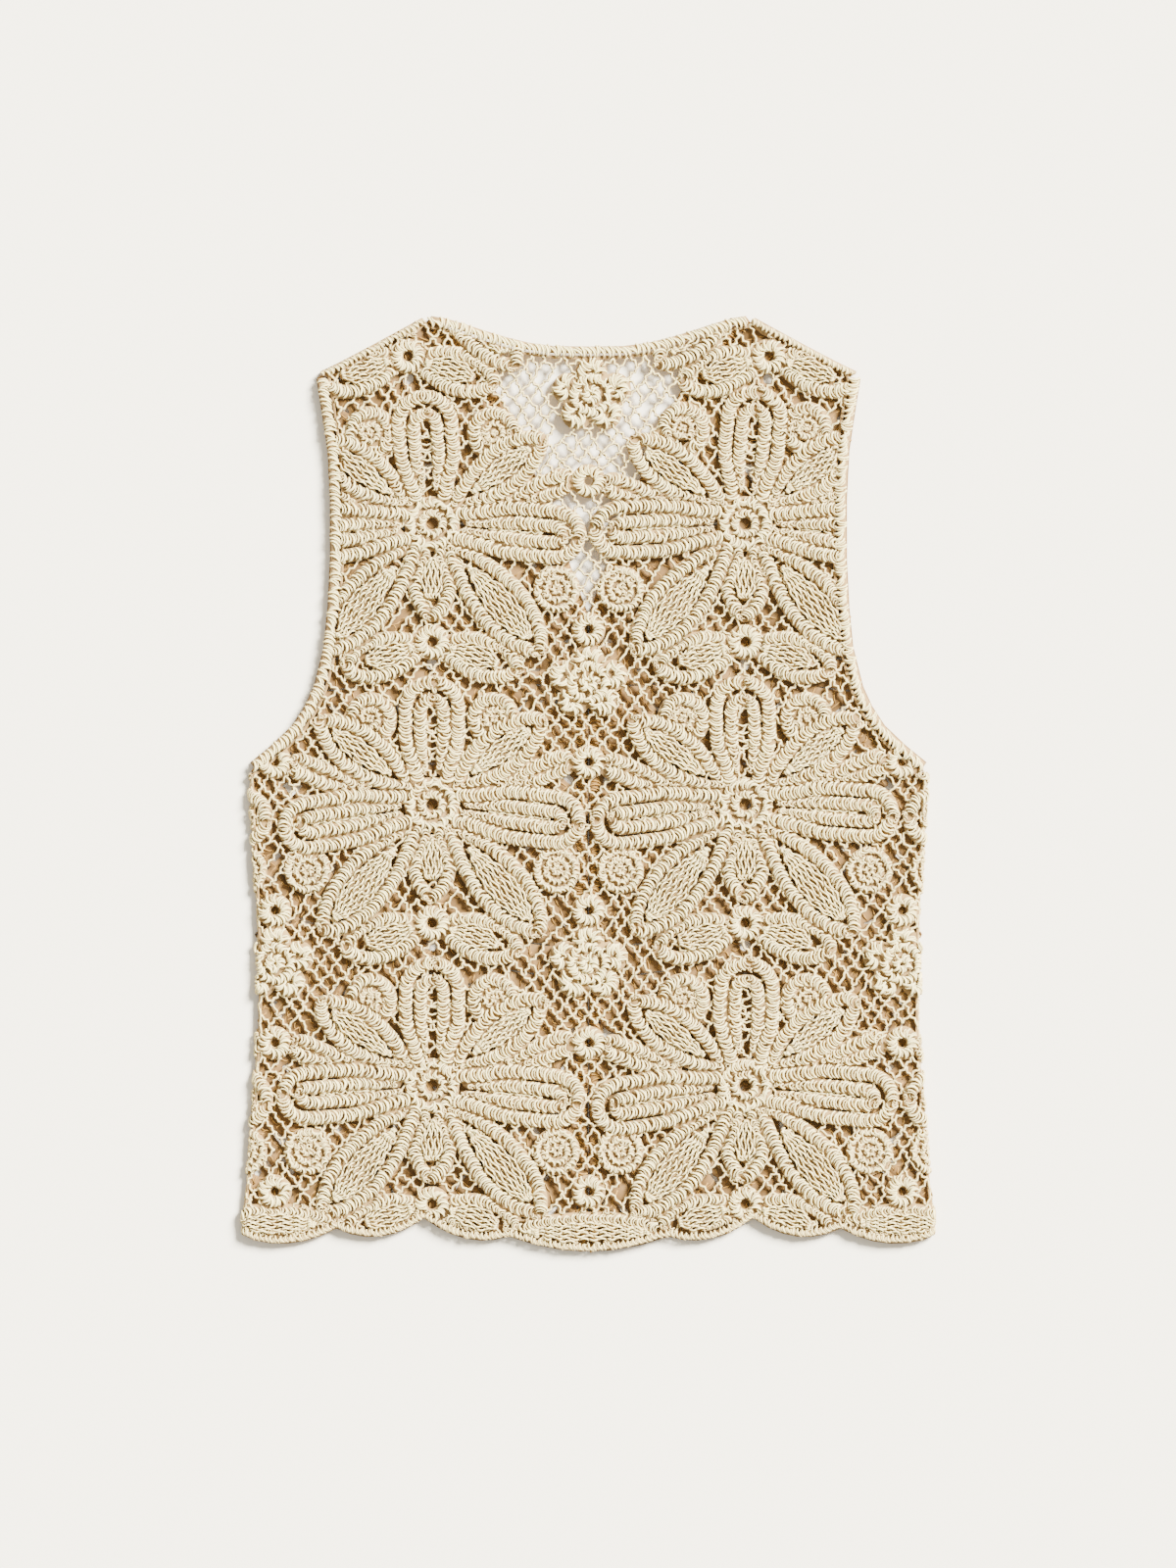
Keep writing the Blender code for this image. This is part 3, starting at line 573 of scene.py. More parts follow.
class Field(Grid):
    """Distance to the lace on a grid: above 0 in a gap, below 0 on crochet."""

    def __init__(self):
        super().__init__((-0.235, -0.312), FIELD_STEP, 0.0)
        self.value = np.full((len(self.y), len(self.x)), 12.0 * MM)

    def copy(self):
        other = Field()
        other.value = self.value.copy()
        return other

    def add_path(self, points, half, closed):
        ends = np.vstack([points, points[:1]]) if closed else points
        for a, b in zip(ends[:-1], ends[1:]):
            rows, cols = self.window(np.array([a, b]), half + FIELD_REACH)
            x, y = np.meshgrid(self.x[cols], self.y[rows])
            if not x.size:
                continue
            d = b - a
            t = np.clip(((x - a[0]) * d[0] + (y - a[1]) * d[1]) / (d @ d), 0.0, 1.0)
            away = np.hypot(x - a[0] - t * d[0], y - a[1] - t * d[1]) - half
            self.value[rows, cols] = np.minimum(self.value[rows, cols], away)

    def fill(self, loop):
        window, within = self.within(loop)
        self.value[window][within] = -1.0 * MM

    def at(self, points):
        return self.nearest(self.value, points)

    def contours(self):
        """Closed level-0 loops of the field, by marching squares."""
        f = self.value
        code = (f[:-1, :-1] > 0) + 2 * (f[:-1, 1:] > 0) + 4 * (f[1:, 1:] > 0) + 8 * (f[1:, :-1] > 0)
        joins = {
            1: ("WS",), 2: ("SE",), 3: ("WE",), 4: ("EN",), 5: ("WS", "EN"), 6: ("SN",), 7: ("WN",),
            8: ("NW",), 9: ("NS",), 10: ("SE", "NW"), 11: ("NE",), 12: ("EW",), 13: ("ES",), 14: ("SW",),
        }
        after = {}
        for j, i in zip(*np.nonzero((code > 0) & (code < 15))):
            key = {"S": (j, i, 0), "N": (j + 1, i, 0), "W": (j, i, 1), "E": (j, i + 1, 1)}
            for a, b in joins[int(code[j, i])]:
                after[key[a]] = key[b]
        loops = []
        while after:
            start, here = after.popitem()
            chain = [start]
            while here in after:
                chain.append(here)
                here = after.pop(here)
            loops.append(np.array([self.crossing_point(*k) for k in chain]))
        return loops

    def crossing_point(self, j, i, upright):
        a = self.value[j, i]
        b = self.value[j + 1, i] if upright else self.value[j, i + 1]
        t = a / (a - b)
        ahead = t * FIELD_STEP
        return (self.x[i], self.y[j] + ahead) if upright else (self.x[i] + ahead, self.y[j])


def simplified(path, tolerance):
    """Douglas-Peucker on an open path."""
    if len(path) < 3:
        return path
    d = path[-1] - path[0]
    away = np.abs(d[0] * (path[:, 1] - path[0, 1]) - d[1] * (path[:, 0] - path[0, 0]))
    away = away / max(np.hypot(*d), 1e-9)
    k = int(away.argmax())
    if away[k] < tolerance:
        return path[[0, -1]]
    return np.vstack([simplified(path[: k + 1], tolerance)[:-1], simplified(path[k:], tolerance)])


def simplified_loop(loop, tolerance):
    start = int(np.hypot(*(loop - loop.mean(0)).T).argmax())
    loop = np.roll(loop, -start, axis=0)
    far = int(np.hypot(*(loop - loop[0]).T).argmax())
    first = simplified(loop[: far + 1], tolerance)
    second = simplified(np.vstack([loop[far:], loop[:1]]), tolerance)
    return np.vstack([first[:-1], second[:-1]])


def widest(loop, field):
    """How far the middle of a gap is from its rim."""
    window, within = field.within(loop)
    return float(field.value[window][within].max()) if within.any() else 0.0


def gaps(lace, outline):
    """The gaps of the lace inside an outline, each a simple closed loop."""
    field = lace.copy()
    field.add_path(outline, MARGIN, True)
    loops = [loop for loop in field.contours() if len(loop) >= 6]
    middles = np.array([loop.mean(0) for loop in loops])
    within = inside(middles[:, 0], middles[:, 1], outline)
    found = [loop for loop, wanted in zip(loops, within) if wanted and widest(loop, field) > LEAST_SLIT]
    return [loop for loop in (simplified_loop(loop, HOLE_TOLERANCE) for loop in found) if len(loop) > 2]


# Where stitches go


class Ground(Grid):
    """Which places of a panel are already covered by a stitch, or lie outside its outline."""

    def __init__(self, outline):
        super().__init__((-0.245, -0.315), 0.5 * MM, 0.5)
        x, y = np.meshgrid(self.x, self.y)
        self.taken = ~inside(x, y, outline)

    def at(self, points):
        return self.nearest(self.taken, points)

    def fill(self, loop):
        window, within = self.within(loop)
        self.taken[window] |= within

    def cover(self, centres, radii):
        for (x, y), r in zip(centres, radii):
            i0, i1 = np.searchsorted(self.x, (x - r, x + r))
            j0, j1 = np.searchsorted(self.y, (y - r, y + r))
            near = np.hypot(self.x[None, i0:i1] - x, self.y[j0:j1, None] - y) < r
            self.taken[j0:j1, i0:i1] |= near


class Stitches:
    """Rows of stitches: each has a middle, a direction, a half width, a length and how it is worked."""

    def __init__(self, ground, pitch):
        self.ground = ground
        self.pitch = pitch
        self.rows = []

    def work(self, path, half, closed=False, pitch=1.0, bow=1.0, mess=0.0, slant=0.0, lift=0.0):
        """Lays stitches along a path, each as wide as the ground that is still free across it."""
        middles, ahead, step = evenly(path, self.pitch * pitch, closed)
        across = left_of(ahead)
        v = np.linspace(-half, half, 15)
        free = ~self.ground.at(middles[:, None] + across[:, None] * v[None, :, None])
        kept = []
        for middle, tangent, normal, open_here in zip(middles, ahead, across, free):
            first, last = longest_run(open_here)
            low, high = v[first], v[last]
            wide = (high - low) / 2
            if wide < min(0.36 * half, 1.5 * MM):
                continue
            place = middle + normal * (high + low) / 2
            kept.append((*place, *tangent, wide, step, bow, mess, slant, lift))
        if kept:
            kept = np.array(kept)
            self.ground.cover(kept[:, :2], kept[:, 4] + 0.1 * MM)
            self.rows.append(kept)

    def knots(self, field, allowed):
        """Fills what crochet ground is still free with short stitches that lie every way."""
        rows = np.arange(-0.308, 0.308, KNOT_SPACING * 0.87)
        x, y = np.meshgrid(np.arange(-0.232, 0.232, KNOT_SPACING), rows)
        x[1::2] += KNOT_SPACING / 2
        places = np.column_stack([x.ravel(), y.ravel()])
        places += rng.uniform(-0.25, 0.25, places.shape) * KNOT_SPACING
        wanted = (field.at(places) < -0.5 * MM) & ~self.ground.at(places) & inside(*places.T, allowed)
        places = places[wanted]
        a = rng.uniform(0.0, 2.0 * math.pi, len(places))
        rest = np.tile((2.0 * MM, 3.0 * MM, 1.0, 0.0, 0.0, 0.0), (len(places), 1))
        return np.column_stack([places, np.cos(a), np.sin(a), rest])

    def all(self):
        return np.vstack(self.rows)


def longest_run(flags):
    """First and last place of the longest run of true flags."""
    best = (0, 0)
    start = None
    for k, flag in enumerate([*flags, False]):
        if flag and start is None:
            start = k
        elif not flag and start is not None:
            if k - 1 - start > best[1] - best[0]:
                best = (start, k - 1)
            start = None
    return best


def halves(points):
    """The way out to a petal's tip, and the way back to its root."""
    middle = len(points) // 2
    return points[: middle + 1], points[middle:][::-1]


def lay_lace(lace, work):
    """Stitches for every strip, ring, eye, curl and rose, the uppermost pieces first."""
    for piece in sorted(lace, key=lambda p: p.rank):
        if piece.kind == "arms":
            for arm in halves(piece.points):
                work.work(arm, piece.half * STITCH_HALF / STRIP_HALF, bow=-1.0, mess=STRIP_MESS)
        elif piece.kind in WORKED:
            work.work(piece.points, piece.half, piece.closed, **WORKED[piece.kind])


# Yarn


def swell(x, y):
    """How far the back rises off the fronts between its edges, in a few soft uneven waves."""
    across = 1.0 - np.minimum(1.0, np.abs(x) / np.where(y < 0.01, 0.205, 0.160)) ** 4
    along = smooth((y + 0.285) / 0.05) * smooth((0.285 - y) / 0.05)
    wave = 0.55 + 0.25 * np.sin(31.0 * x + 9.0 * y) + 0.20 * np.sin(23.0 * y - 14.0 * x + 1.1)
    return SWELL * across * along * wave + creased(x, y)


def creased(x, y):
    """The soft ridges and troughs that the back has beside its swell, none of them at its edges."""
    found = 0.0 * x
    for middle_x, middle_y, direction, length, width, height in CREASES:
        a = math.radians(direction)
        dx, dy = x - middle_x * MM, y - middle_y * MM
        along = (dx * math.cos(a) + dy * math.sin(a)) / (length * MM)
        across = (dy * math.cos(a) - dx * math.sin(a)) / (width * MM)
        found = found + height * MM * np.exp(-along**2 - across**2)
    side = np.interp(-y, -SIDE_PATH[:, 1], SIDE_PATH[:, 0])
    return np.maximum(found, -0.5 * MM) * smooth((side - FOLD_REACH - np.abs(x)) / (8.0 * MM))


def folded(points):
    """Carries what lies beyond a side edge round the fold that joins the back to the front."""
    x, y, z = points[..., 0], points[..., 1], points[..., 2]
    start = np.interp(-y, -SIDE_PATH[:, 1], SIDE_PATH[:, 0]) - FOLD_REACH
    beyond = np.abs(x) - start
    turn = np.clip(beyond / FOLD_ARC, 0.0, 2.5)
    reach = z - FOLD_HEIGHT
    down = np.where(np.cos(turn) < 0.0, FOLD_FLAT, 1.0)
    round_x = np.sign(x) * (start + reach * np.sin(turn))
    round_z = FOLD_HEIGHT + reach * np.cos(turn) * down
    on_fold = (beyond > 0.0) & (y < ARMHOLE_PATH[-1, 1] + 2.0 * MM)
    return np.stack([np.where(on_fold, round_x, x), y, np.where(on_fold, round_z, z)], axis=-1)


class Yarn:
    """Swept tubes gathered into one mesh."""

    def __init__(self):
        self.points = []
        self.faces = []
        self.rise = []
        self.shade = []
        self.count = 0

    def add(self, lines, radius, sides=4, closed=False, height=1.0):
        """Tubes along n lines of k points. height: how high each point stands, 0 deep to 1 on the crest,
        which with the way each face looks up sets the painted shade of the rise.
        """
        n, k, _ = lines.shape
        radius = np.broadcast_to(radius, (n, k))
        height = np.broadcast_to(height, (n, k))
        if closed:
            ahead = np.roll(lines, -1, 1) - np.roll(lines, 1, 1)
        else:
            ahead = np.gradient(lines, axis=1)
        ahead = ahead / (np.linalg.norm(ahead, axis=2, keepdims=True) + 1e-12)
        side = np.tile((0.05, 0.03, 1.0), (n, 1))
        up = np.empty_like(lines)
        for i in range(k):
            side = side - ahead[:, i] * (side * ahead[:, i]).sum(1, keepdims=True)
            side = side / (np.linalg.norm(side, axis=1, keepdims=True) + 1e-12)
            up[:, i] = side
        other = np.cross(ahead, up)
        a = 2.0 * math.pi * np.arange(sides) / sides
        out = up[:, :, None] * np.cos(a)[:, None] + other[:, :, None] * np.sin(a)[:, None]
        points = lines[:, :, None] + out * radius[:, :, None, None]
        # Painted shade: rise is low deep in the crochet and on faces that look down, so these are painted
        # darker, and high on upward faces of crests
        rise = (0.30 + 0.70 * height[:, :, None]) * np.clip(0.5 + 0.5 * out[..., 2], 0.0, 1.0)
        shade = np.broadcast_to(rng.uniform(0.0, 1.0, (n, 1, 1)), rise.shape)
        tube = tube_faces(k, sides, closed)
        faces = tube[None] + (np.arange(n) * k * sides)[:, None, None] + self.count
        self.points.append(points.reshape(-1, 3))
        self.rise.append(rise.reshape(-1))
        self.shade.append(shade.reshape(-1))
        self.faces.append(faces.reshape(-1, 3))
        self.count += n * k * sides

    def solid(self, points, faces, rise):
        """Adds a closed form that isn't a strand."""
        self.points.append(points)
        self.faces.append(faces + self.count)
        self.rise.append(np.full(len(points), rise))
        self.shade.append(np.full(len(points), EVEN_SHADE))
        self.count += len(points)

    def piece(self, name, material):
        return mesh_piece(
            name, np.vstack(self.points), np.vstack(self.faces), material,
            np.concatenate(self.rise), np.concatenate(self.shade),
        )


def tube_faces(k, sides, closed):
    """Triangles of one tube, ring by ring, with its two ends closed."""
    faces = []
    for i in range(k if closed else k - 1):
        for j in range(sides):
            a, b = i * sides + j, i * sides + (j + 1) % sides
            c, d = (i + 1) % k * sides + (j + 1) % sides, (i + 1) % k * sides + j
            faces += [(a, b, c), (a, c, d)]
    if not closed:
        last = (k - 1) * sides
        for j in range(1, sides - 1):
            faces += [(0, j + 1, j), (last, last + j, last + j + 1)]
    return np.array(faces)


def mesh_piece(name, points, faces, material, rise=SHELL_PAINTED_SHADE, shade=EVEN_SHADE):
    mesh = bpy.data.meshes.new(name)
    mesh.vertices.add(len(points))
    mesh.vertices.foreach_set("co", np.asarray(points, np.float32).ravel())
    mesh.loops.add(3 * len(faces))
    mesh.loops.foreach_set("vertex_index", np.asarray(faces, np.int32).ravel())
    mesh.polygons.add(len(faces))
    mesh.polygons.foreach_set("loop_start", np.arange(0, 3 * len(faces), 3, dtype=np.int32))
    mesh.polygons.foreach_set("use_smooth", np.ones(len(faces), bool))
    for key, given in (("rise", rise), ("shade", shade)):
        values = np.empty(len(points), np.float32)
        values[:] = given
        mesh.attributes.new(key, "FLOAT", "POINT").data.foreach_set("value", values)
    mesh.materials.append(material)
    mesh.update(calc_edges=True)
    thing = bpy.data.objects.new(name, mesh)
    bpy.context.scene.collection.objects.link(thing)
    return thing


def stitch_frame(stitches):
    """Middle and unit directions along and across of each stitch, with its mess."""
    n = len(stitches)
    turn = np.radians(stitches[:, 7] * rng.normal(0.0, 1.0, n) + stitches[:, 8])
    tx, ty = stitches[:, 2], stitches[:, 3]
    cos, sin = np.cos(turn), np.sin(turn)
    along = np.column_stack([tx * cos - ty * sin, tx * sin + ty * cos])
    middle = stitches[:, :2] + rng.normal(0.0, 0.2 * MM, (n, 2))
    return middle, along, left_of(along)


def stood(xy, w, base):
    """Points at w above the cloth's base."""
    return np.concatenate([xy, (base(xy[..., 0], xy[..., 1]) + w)[..., None]], axis=-1)


def on_strip(frames, u, v, w, base):
    """Points at u along, v across and w above the cloth for each stitch; u, v and w are n by k."""
    middle, along, across = frames
    return stood(middle[:, None] + along[:, None] * u[..., None] + across[:, None] * v[..., None], w, base)


def stitch_yarn(stitches, strands, yarn, base, bend, foot=FOOT, crest=CREST):
    """Each stitch: strands bowed like a C side by side over its strip, their ends along its edges."""
    place = stitch_frame(stitches)
    n = len(stitches)
    half, length, bow, lift = (stitches[:, k, None] for k in (4, 5, 6, 9))
    full = np.clip(half / STRIP_HALF, 0.4, 1.05) ** 0.5 if crest > LOW_CREST else 1.0
    top = foot + (crest - foot) * full + lift
    for shift, share, count, sides, radius, drop in strands:
        turn = np.linspace(-1.0, 1.0, count)[None] * STRAND_TURN
        flat = (np.cos(turn) - math.cos(STRAND_TURN)) / (1.0 - math.cos(STRAND_TURN))
        sag = bow * rng.uniform(*SAG, (n, 1)) * share
        tilt = rng.normal(0.0, LEAN, (n, 1)) * (2.0 - share)
        slide = rng.normal(0.0, SLIDE, (n, 1)) * half * (share < 0.9)
        s = np.sin(turn) / math.sin(STRAND_TURN)
        v = s * share * (half - 0.6 * MM) + slide
        u = length * (shift - 0.3 * bow + sag * flat + tilt * s)
        w = foot + (top - drop - foot) * (SHOULDERS + (1.0 - SHOULDERS) * np.cos(turn) ** FLAT_BACK)
        w = w + rng.normal(0.0, UNEVEN, (n, 1))
        thick = radius * rng.uniform(*THICKNESS, (n, 1)) * (1.0 - TAPER + TAPER * flat)
        lines = bend(on_strip(place, u, v, w, base))
        # Painted shade: strands and ends that stand lower than the crest are painted darker through their
        # rise
        yarn.add(lines, thick, sides, height=np.clip((w - foot) / (crest - foot), 0.0, 1.0))


def front_stitch_yarn(stitches, yarn):
    """Each stitch of a front: one loop over the strip and back under it."""
    place = stitch_frame(stitches)
    half, length, bow = (stitches[:, k, None] for k in (4, 5, 6))
    points = 7
    a = 2.0 * math.pi * (np.arange(points) + 0.5)[None] / points
    s = -np.cos(a)
    v = s * (half - 0.2 * MM)
    u = length * (0.16 * np.sin(a) + 0.22 * bow * (1.0 - s * s) - 0.1 * bow)
    middle = FRONT_THICK / 2
    w = middle + (middle - FRONT_LOOP) * np.sin(a)
    lines = on_strip(place, u, v, w, raised(0.0))
    # Painted shade: the half of each loop that passes under the strip is painted darker
    yarn.add(lines, FRONT_LOOP, sides=3, closed=True, height=np.clip(0.5 + 0.5 * np.sin(a), 0.0, 1.0))


def leaf_stitches(core):
    """Short strands laid lengthwise in rows over a leaf's middle, each a line of points."""
    middle_at = len(core) // 2
    one, other = core[: middle_at + 1], core[middle_at:][::-1]
    length = np.hypot(*(one[-1] - one[0]))
    t = np.linspace(0.0, 1.0, len(one))
    wide = np.hypot(*(one - other).T) / 2
    rows = max(4, 1 + round(2.0 * LEAF_SPAN * wide.max() / LEAF_ROW))
    steps = max(2, round(length / LEAF_STITCH))
    local = np.linspace(0.0, 1.0, 5)
    lines = []
    for row in range(rows):
        s = LEAF_SPAN * (2.0 * row / (rows - 1) - 1.0)
        for step in range(-1, steps):
            uneven = rng.uniform(-LEAF_UNEVEN, LEAF_UNEVEN)
            at = (step + 0.5 * (row % 2) + uneven + LEAF_OVERLAP * local) / steps
            if at[0] < 0.0 or at[-1] > 1.0:
                continue
            crowded = np.interp(at[2], t, wide) * 2.0 * LEAF_SPAN / (rows - 1) < 0.55 * LEAF_ROW
            if crowded and row % 2:
                continue
            left, right = (
                np.column_stack([np.interp(at, t, rim[:, k]) for k in (0, 1)]) for rim in (one, other)
            )
            across = (left - right) / (np.hypot(*(left - right).T)[:, None] + 1e-9)
            sway = LEAF_SWAY * (-1) ** (row + step) * (np.sin(math.pi * local) - 0.5)
            lines.append((left * (1 + s) + right * (1 - s)) / 2 + across * sway[:, None])
    return lines


def leaf_yarn(lines, yarn, base, bend):
    """The strands of all the leaves' middles: each dips under the next one at both ends."""
    lines = np.array(lines)
    n = len(lines)
    local = np.linspace(-1.0, 1.0, 5)[None]
    w = CREST - 0.3 * MM - 1.7 * MM * local**4 + rng.normal(0.0, 0.2 * MM, (n, 1))
    thick = LEAF_STRAND * rng.uniform(0.90, 1.10, (n, 1)) * (1.0 - 0.2 * local**4)
    # Painted shade: where a strand dips at its ends it is painted darker
    rise = np.clip((w - FOOT) / (CREST - FOOT), 0.0, 1.0)
    yarn.add(bend(stood(lines, w, base)), thick, 3, height=rise)


def chain_yarn(chains, yarn, base, bend, radius, height, sides=4, points=6):
    """Wavy chains of the net; those leaning one way pass over those leaning the other way."""
    chains = np.array(chains)
    n = len(chains)
    d = chains[:, 1] - chains[:, 0]
    length = np.hypot(*d.T)[:, None]
    across = left_of(d / length)
    t = np.linspace(-0.04, 1.04, points)[None]
    phase = rng.uniform(0.0, 6.28, (n, 1))
    fade = np.sin(math.pi * np.clip(t, 0, 1)) ** 0.3
    wave = CHAIN_WAVE * np.sin(2.0 * math.pi * t * length / CHAIN_LINK + phase) * fade
    xy = chains[:, None, 0] + d[:, None] * t[..., None] + across[:, None] * wave[..., None]
    over = np.where(d[:, :1] > 0.0, 0.30 * MM, -0.15 * MM)
    w = height + over * np.cos(2.0 * math.pi * t) + 0.12 * MM * np.sin(7.0 * t + phase)
    lines = bend(stood(xy, w, base))
    # Painted shade: the net's chains are painted a little darker than the crests of the strips
    yarn.add(lines, radius * rng.uniform(0.88, 1.12, (n, 1)), sides=sides, height=0.65)


# Shells


def shell(outline, holes, low, high):
    """A thin wall with holes between two heights: its points, triangles and flat area."""
    loops = [outline, *holes]
    flat = [Vector(p) for loop in loops for p in loop]
    edges = []
    first = 0
    for loop in loops:
        n = len(loop)
        edges += [(first + k, first + (k + 1) % n) for k in range(n)]
        first += n
    out, _, faces, source, _, _ = delaunay_2d_cdt(flat, edges, [], 1, 1e-9)
    points = np.array([tuple(p) for p in out])
    faces = np.array(faces)
    middles = points[faces].mean(1)
    keep = inside(middles[:, 0], middles[:, 1], outline)
    order = np.argsort(middles[:, 0])
    sorted_x = middles[order, 0]
    for hole in holes:
        a, b = np.searchsorted(sorted_x, (hole[:, 0].min(), hole[:, 0].max()))
        near = order[a:b]
        near = near[(middles[near, 1] > hole[:, 1].min()) & (middles[near, 1] < hole[:, 1].max())]
        keep[near] &= ~inside(middles[near, 0], middles[near, 1], hole)
    faces = faces[keep]
    p, q, r = points[faces].transpose(1, 0, 2)
    clockwise = (q - p)[:, 0] * (r - p)[:, 1] - (q - p)[:, 1] * (r - p)[:, 0] < 0.0
    faces[clockwise] = faces[clockwise][:, ::-1]
    ends = np.concatenate([faces[:, [0, 1]], faces[:, [1, 2]], faces[:, [2, 0]]])
    known = set(map(tuple, ends))
    rim = np.array([(a, b) for a, b in ends if (b, a) not in known])
    n = len(points)
    top = np.column_stack([points, high(points[:, 0], points[:, 1])])
    bottom = np.column_stack([points, low(points[:, 0], points[:, 1])])
    walls = np.vstack([
        np.column_stack([rim[:, 0], rim[:, 0] + n, rim[:, 1] + n]),
        np.column_stack([rim[:, 0], rim[:, 1] + n, rim[:, 1]]),
    ])
    area = float(np.abs(np.cross(q - p, r - p)).sum() / 2) if len(faces) else 0.0
    return np.vstack([top, bottom]), np.vstack([faces, faces[:, ::-1] + n, walls]), area


# Materials


def plain_material(name, roughness, specular):
    """A new material and its shader."""
    material = bpy.data.materials.new(name)
    material.use_nodes = True
    shader = material.node_tree.nodes["Principled BSDF"]
    shader.inputs["Roughness"].default_value = roughness
    shader.inputs["Specular IOR Level"].default_value = specular
    return material, shader


def yarn_material(name, painted_shade_colour, middle, crest, sheen):
    """Yarn with painted shade and painted light: by its rise it runs from a dark brown of painted shade,
    deep in the crochet and under its strands, to its palest on the upward faces of its crests. Mottled and
    finely fuzzy.
    """
    material, shader = plain_material(name, 0.85, 0.25)
    shader.inputs["Sheen Weight"].default_value = sheen
    shader.inputs["Sheen Roughness"].default_value = 0.6
    tree = material.node_tree

    def node(kind, values, links):
        made = tree.nodes.new(kind)
        for socket, value in values.items():
            made.inputs[socket].default_value = value
        for socket, source in links.items():
            tree.links.new(source, made.inputs[socket])
        return made

    def attribute(key):
        made = tree.nodes.new("ShaderNodeAttribute")
        made.attribute_name = key
        return made.outputs["Fac"]

    def maths(operation, values, links):
        made = node("ShaderNodeMath", values, links)
        made.operation = operation
        return made.outputs["Value"]

    rise, shade = attribute("rise"), attribute("shade")
    place = tree.nodes.new("ShaderNodeTexCoord").outputs["Object"]
    mottle = node("ShaderNodeTexNoise", {"Scale": 55.0, "Detail": 3.0}, {"Vector": place})
    # Painted shade: the ramp darkens the yarn by its rise, from the crest colour on upward faces of crests
    # down to dark brown deep in the crochet and underneath
    ramp = node("ShaderNodeValToRGB", {}, {"Fac": rise})
    stops = ramp.color_ramp.elements
    stops[0].position = 0.0
    stops[0].color = (*painted_shade_colour, 1.0)
    stops[1].position = 0.80
    stops[1].color = (*crest, 1.0)
    stops.new(0.38).color = (*middle, 1.0)

    bright = maths("MULTIPLY_ADD", {1: 0.14, 2: 0.90}, {0: shade})
    patched = maths("MULTIPLY_ADD", {1: 0.16}, {0: mottle.outputs["Fac"], 2: bright})
    lowered = maths("SUBTRACT", {1: 0.08}, {0: patched})
    vary = node("ShaderNodeHueSaturation", {}, {"Value": lowered, "Color": ramp.outputs["Color"]})
    tree.links.new(vary.outputs["Color"], shader.inputs["Base Color"])

    fuzz = node("ShaderNodeTexNoise", {"Scale": 1900.0, "Detail": 2.0}, {"Vector": place})
    bump = node("ShaderNodeBump", {"Strength": 0.35, "Distance": 0.25 * MM}, {"Height": fuzz.outputs["Fac"]})
    tree.links.new(bump.outputs["Normal"], shader.inputs["Normal"])
    return material


def floor_material():
    material, shader = plain_material("floor", 0.95, 0.1)
    shader.inputs["Base Color"].default_value = (0.965, 0.908, 0.748, 1.0)
    return material


# Garment


def back_base(x, y):
    return BACK_BASE + swell(x, y)


def raised(height):
    """A level base at a height."""
    return lambda x, y: height + 0.0 * x


def unbent(points):
    return points


def lace_field(lace):
    field = Field()
    for piece in lace:
        if piece.kind not in ("ladder", "wavy"):
            field.add_path(piece.points, piece.half, piece.closed)
        if piece.filled:
            field.fill(piece.points)
    return field


def slot_bars(lace, allowed):
    """Short bars, each bent like a V, across the upright petals' slots."""
    bars = []
    for piece in (p for p in lace if p.kind == "ladder"):
        a, b = piece.points
        reach = np.hypot(*(b - a))
        ahead = (b - a) / reach
        side = np.array((-ahead[1], ahead[0])) * (piece.half + 0.9 * MM)
        for k in range(int(reach / RUNG) + 1):
            middle = a + ahead * (k * RUNG)
            bar = [middle + side * s - ahead * DIP * (1.0 - abs(s)) for s in (-1.0, -0.4, 0.0, 0.4, 1.0)]
            if inside(*np.transpose(bar), allowed).all():
                bars.append(bar)
    return np.array(bars)


def slot_chains(lace, allowed):
    """Chains that run along the level petals' slots."""
    chains = []
    for piece in (p for p in lace if p.kind == "wavy"):
        a, b = piece.points
        steps = max(1, int(np.hypot(*(b - a)) / SLOT_LINK))
        stops = a + (b - a) * np.linspace(0.0, 1.0, steps + 1)[:, None]
        within = inside(*stops.T, allowed)
        chains += [stops[k : k + 2] for k in range(steps) if within[k] and within[k + 1]]
    return chains


def back_stitches(lace, field, cream):
    """Every stitch of the back: its hem and shoulder edges, its leaves, then its strips and rings."""
    ground = Ground(back_outline(side_out=8.0 * MM, all_in=-0.25 * MM))
    work = Stitches(ground, ROPE_PITCH)
    edges = [np.vstack([HEM_PATH, mirrored(HEM_PATH)[1:]]), SHOULDER_PATH, mirrored(SHOULDER_PATH)]
    for path in edges:
        work.work(moved_in(path, ROPE_HALF), ROPE_HALF, bow=0.5, slant=EDGE_SLANT)
    work.pitch = PITCH
    cores = [piece.points for piece in lace if piece.kind == "core"]
    leaves = [line for core in cores for line in leaf_stitches(core) if not ground.at(line).any()]
    for core in cores:
        ground.fill(core)
    lay_lace(lace, work)
    knots = work.knots(field, back_outline(side_out=5.0 * MM, all_in=1.9 * MM))
    stitches = work.all()
    stitches = stitches[np.argsort(stitches[:, 1])]
    made = []
    for part, name in zip(np.array_split(stitches, 3), ("lower", "middle", "upper")):
        yarn = Yarn()
        stitch_yarn(part, STITCH, yarn, back_base, folded)
        made.append(yarn.piece(f"back_stitches_{name}", cream))
    yarn = Yarn()
    leaf_yarn(leaves, yarn, back_base, folded)
    # Painted shade: the slot bars are painted a little darker than the crests
    yarn.add(stood(slot_bars(lace, back_outline()), BAR_HEIGHT, back_base), BAR, height=0.8)
    made.append(yarn.piece("back_leaf_strands", cream))
    yarn = Yarn()
    stitch_yarn(knots, KNOT, yarn, back_base, folded)
    made.append(yarn.piece("back_knots", cream))
    return made


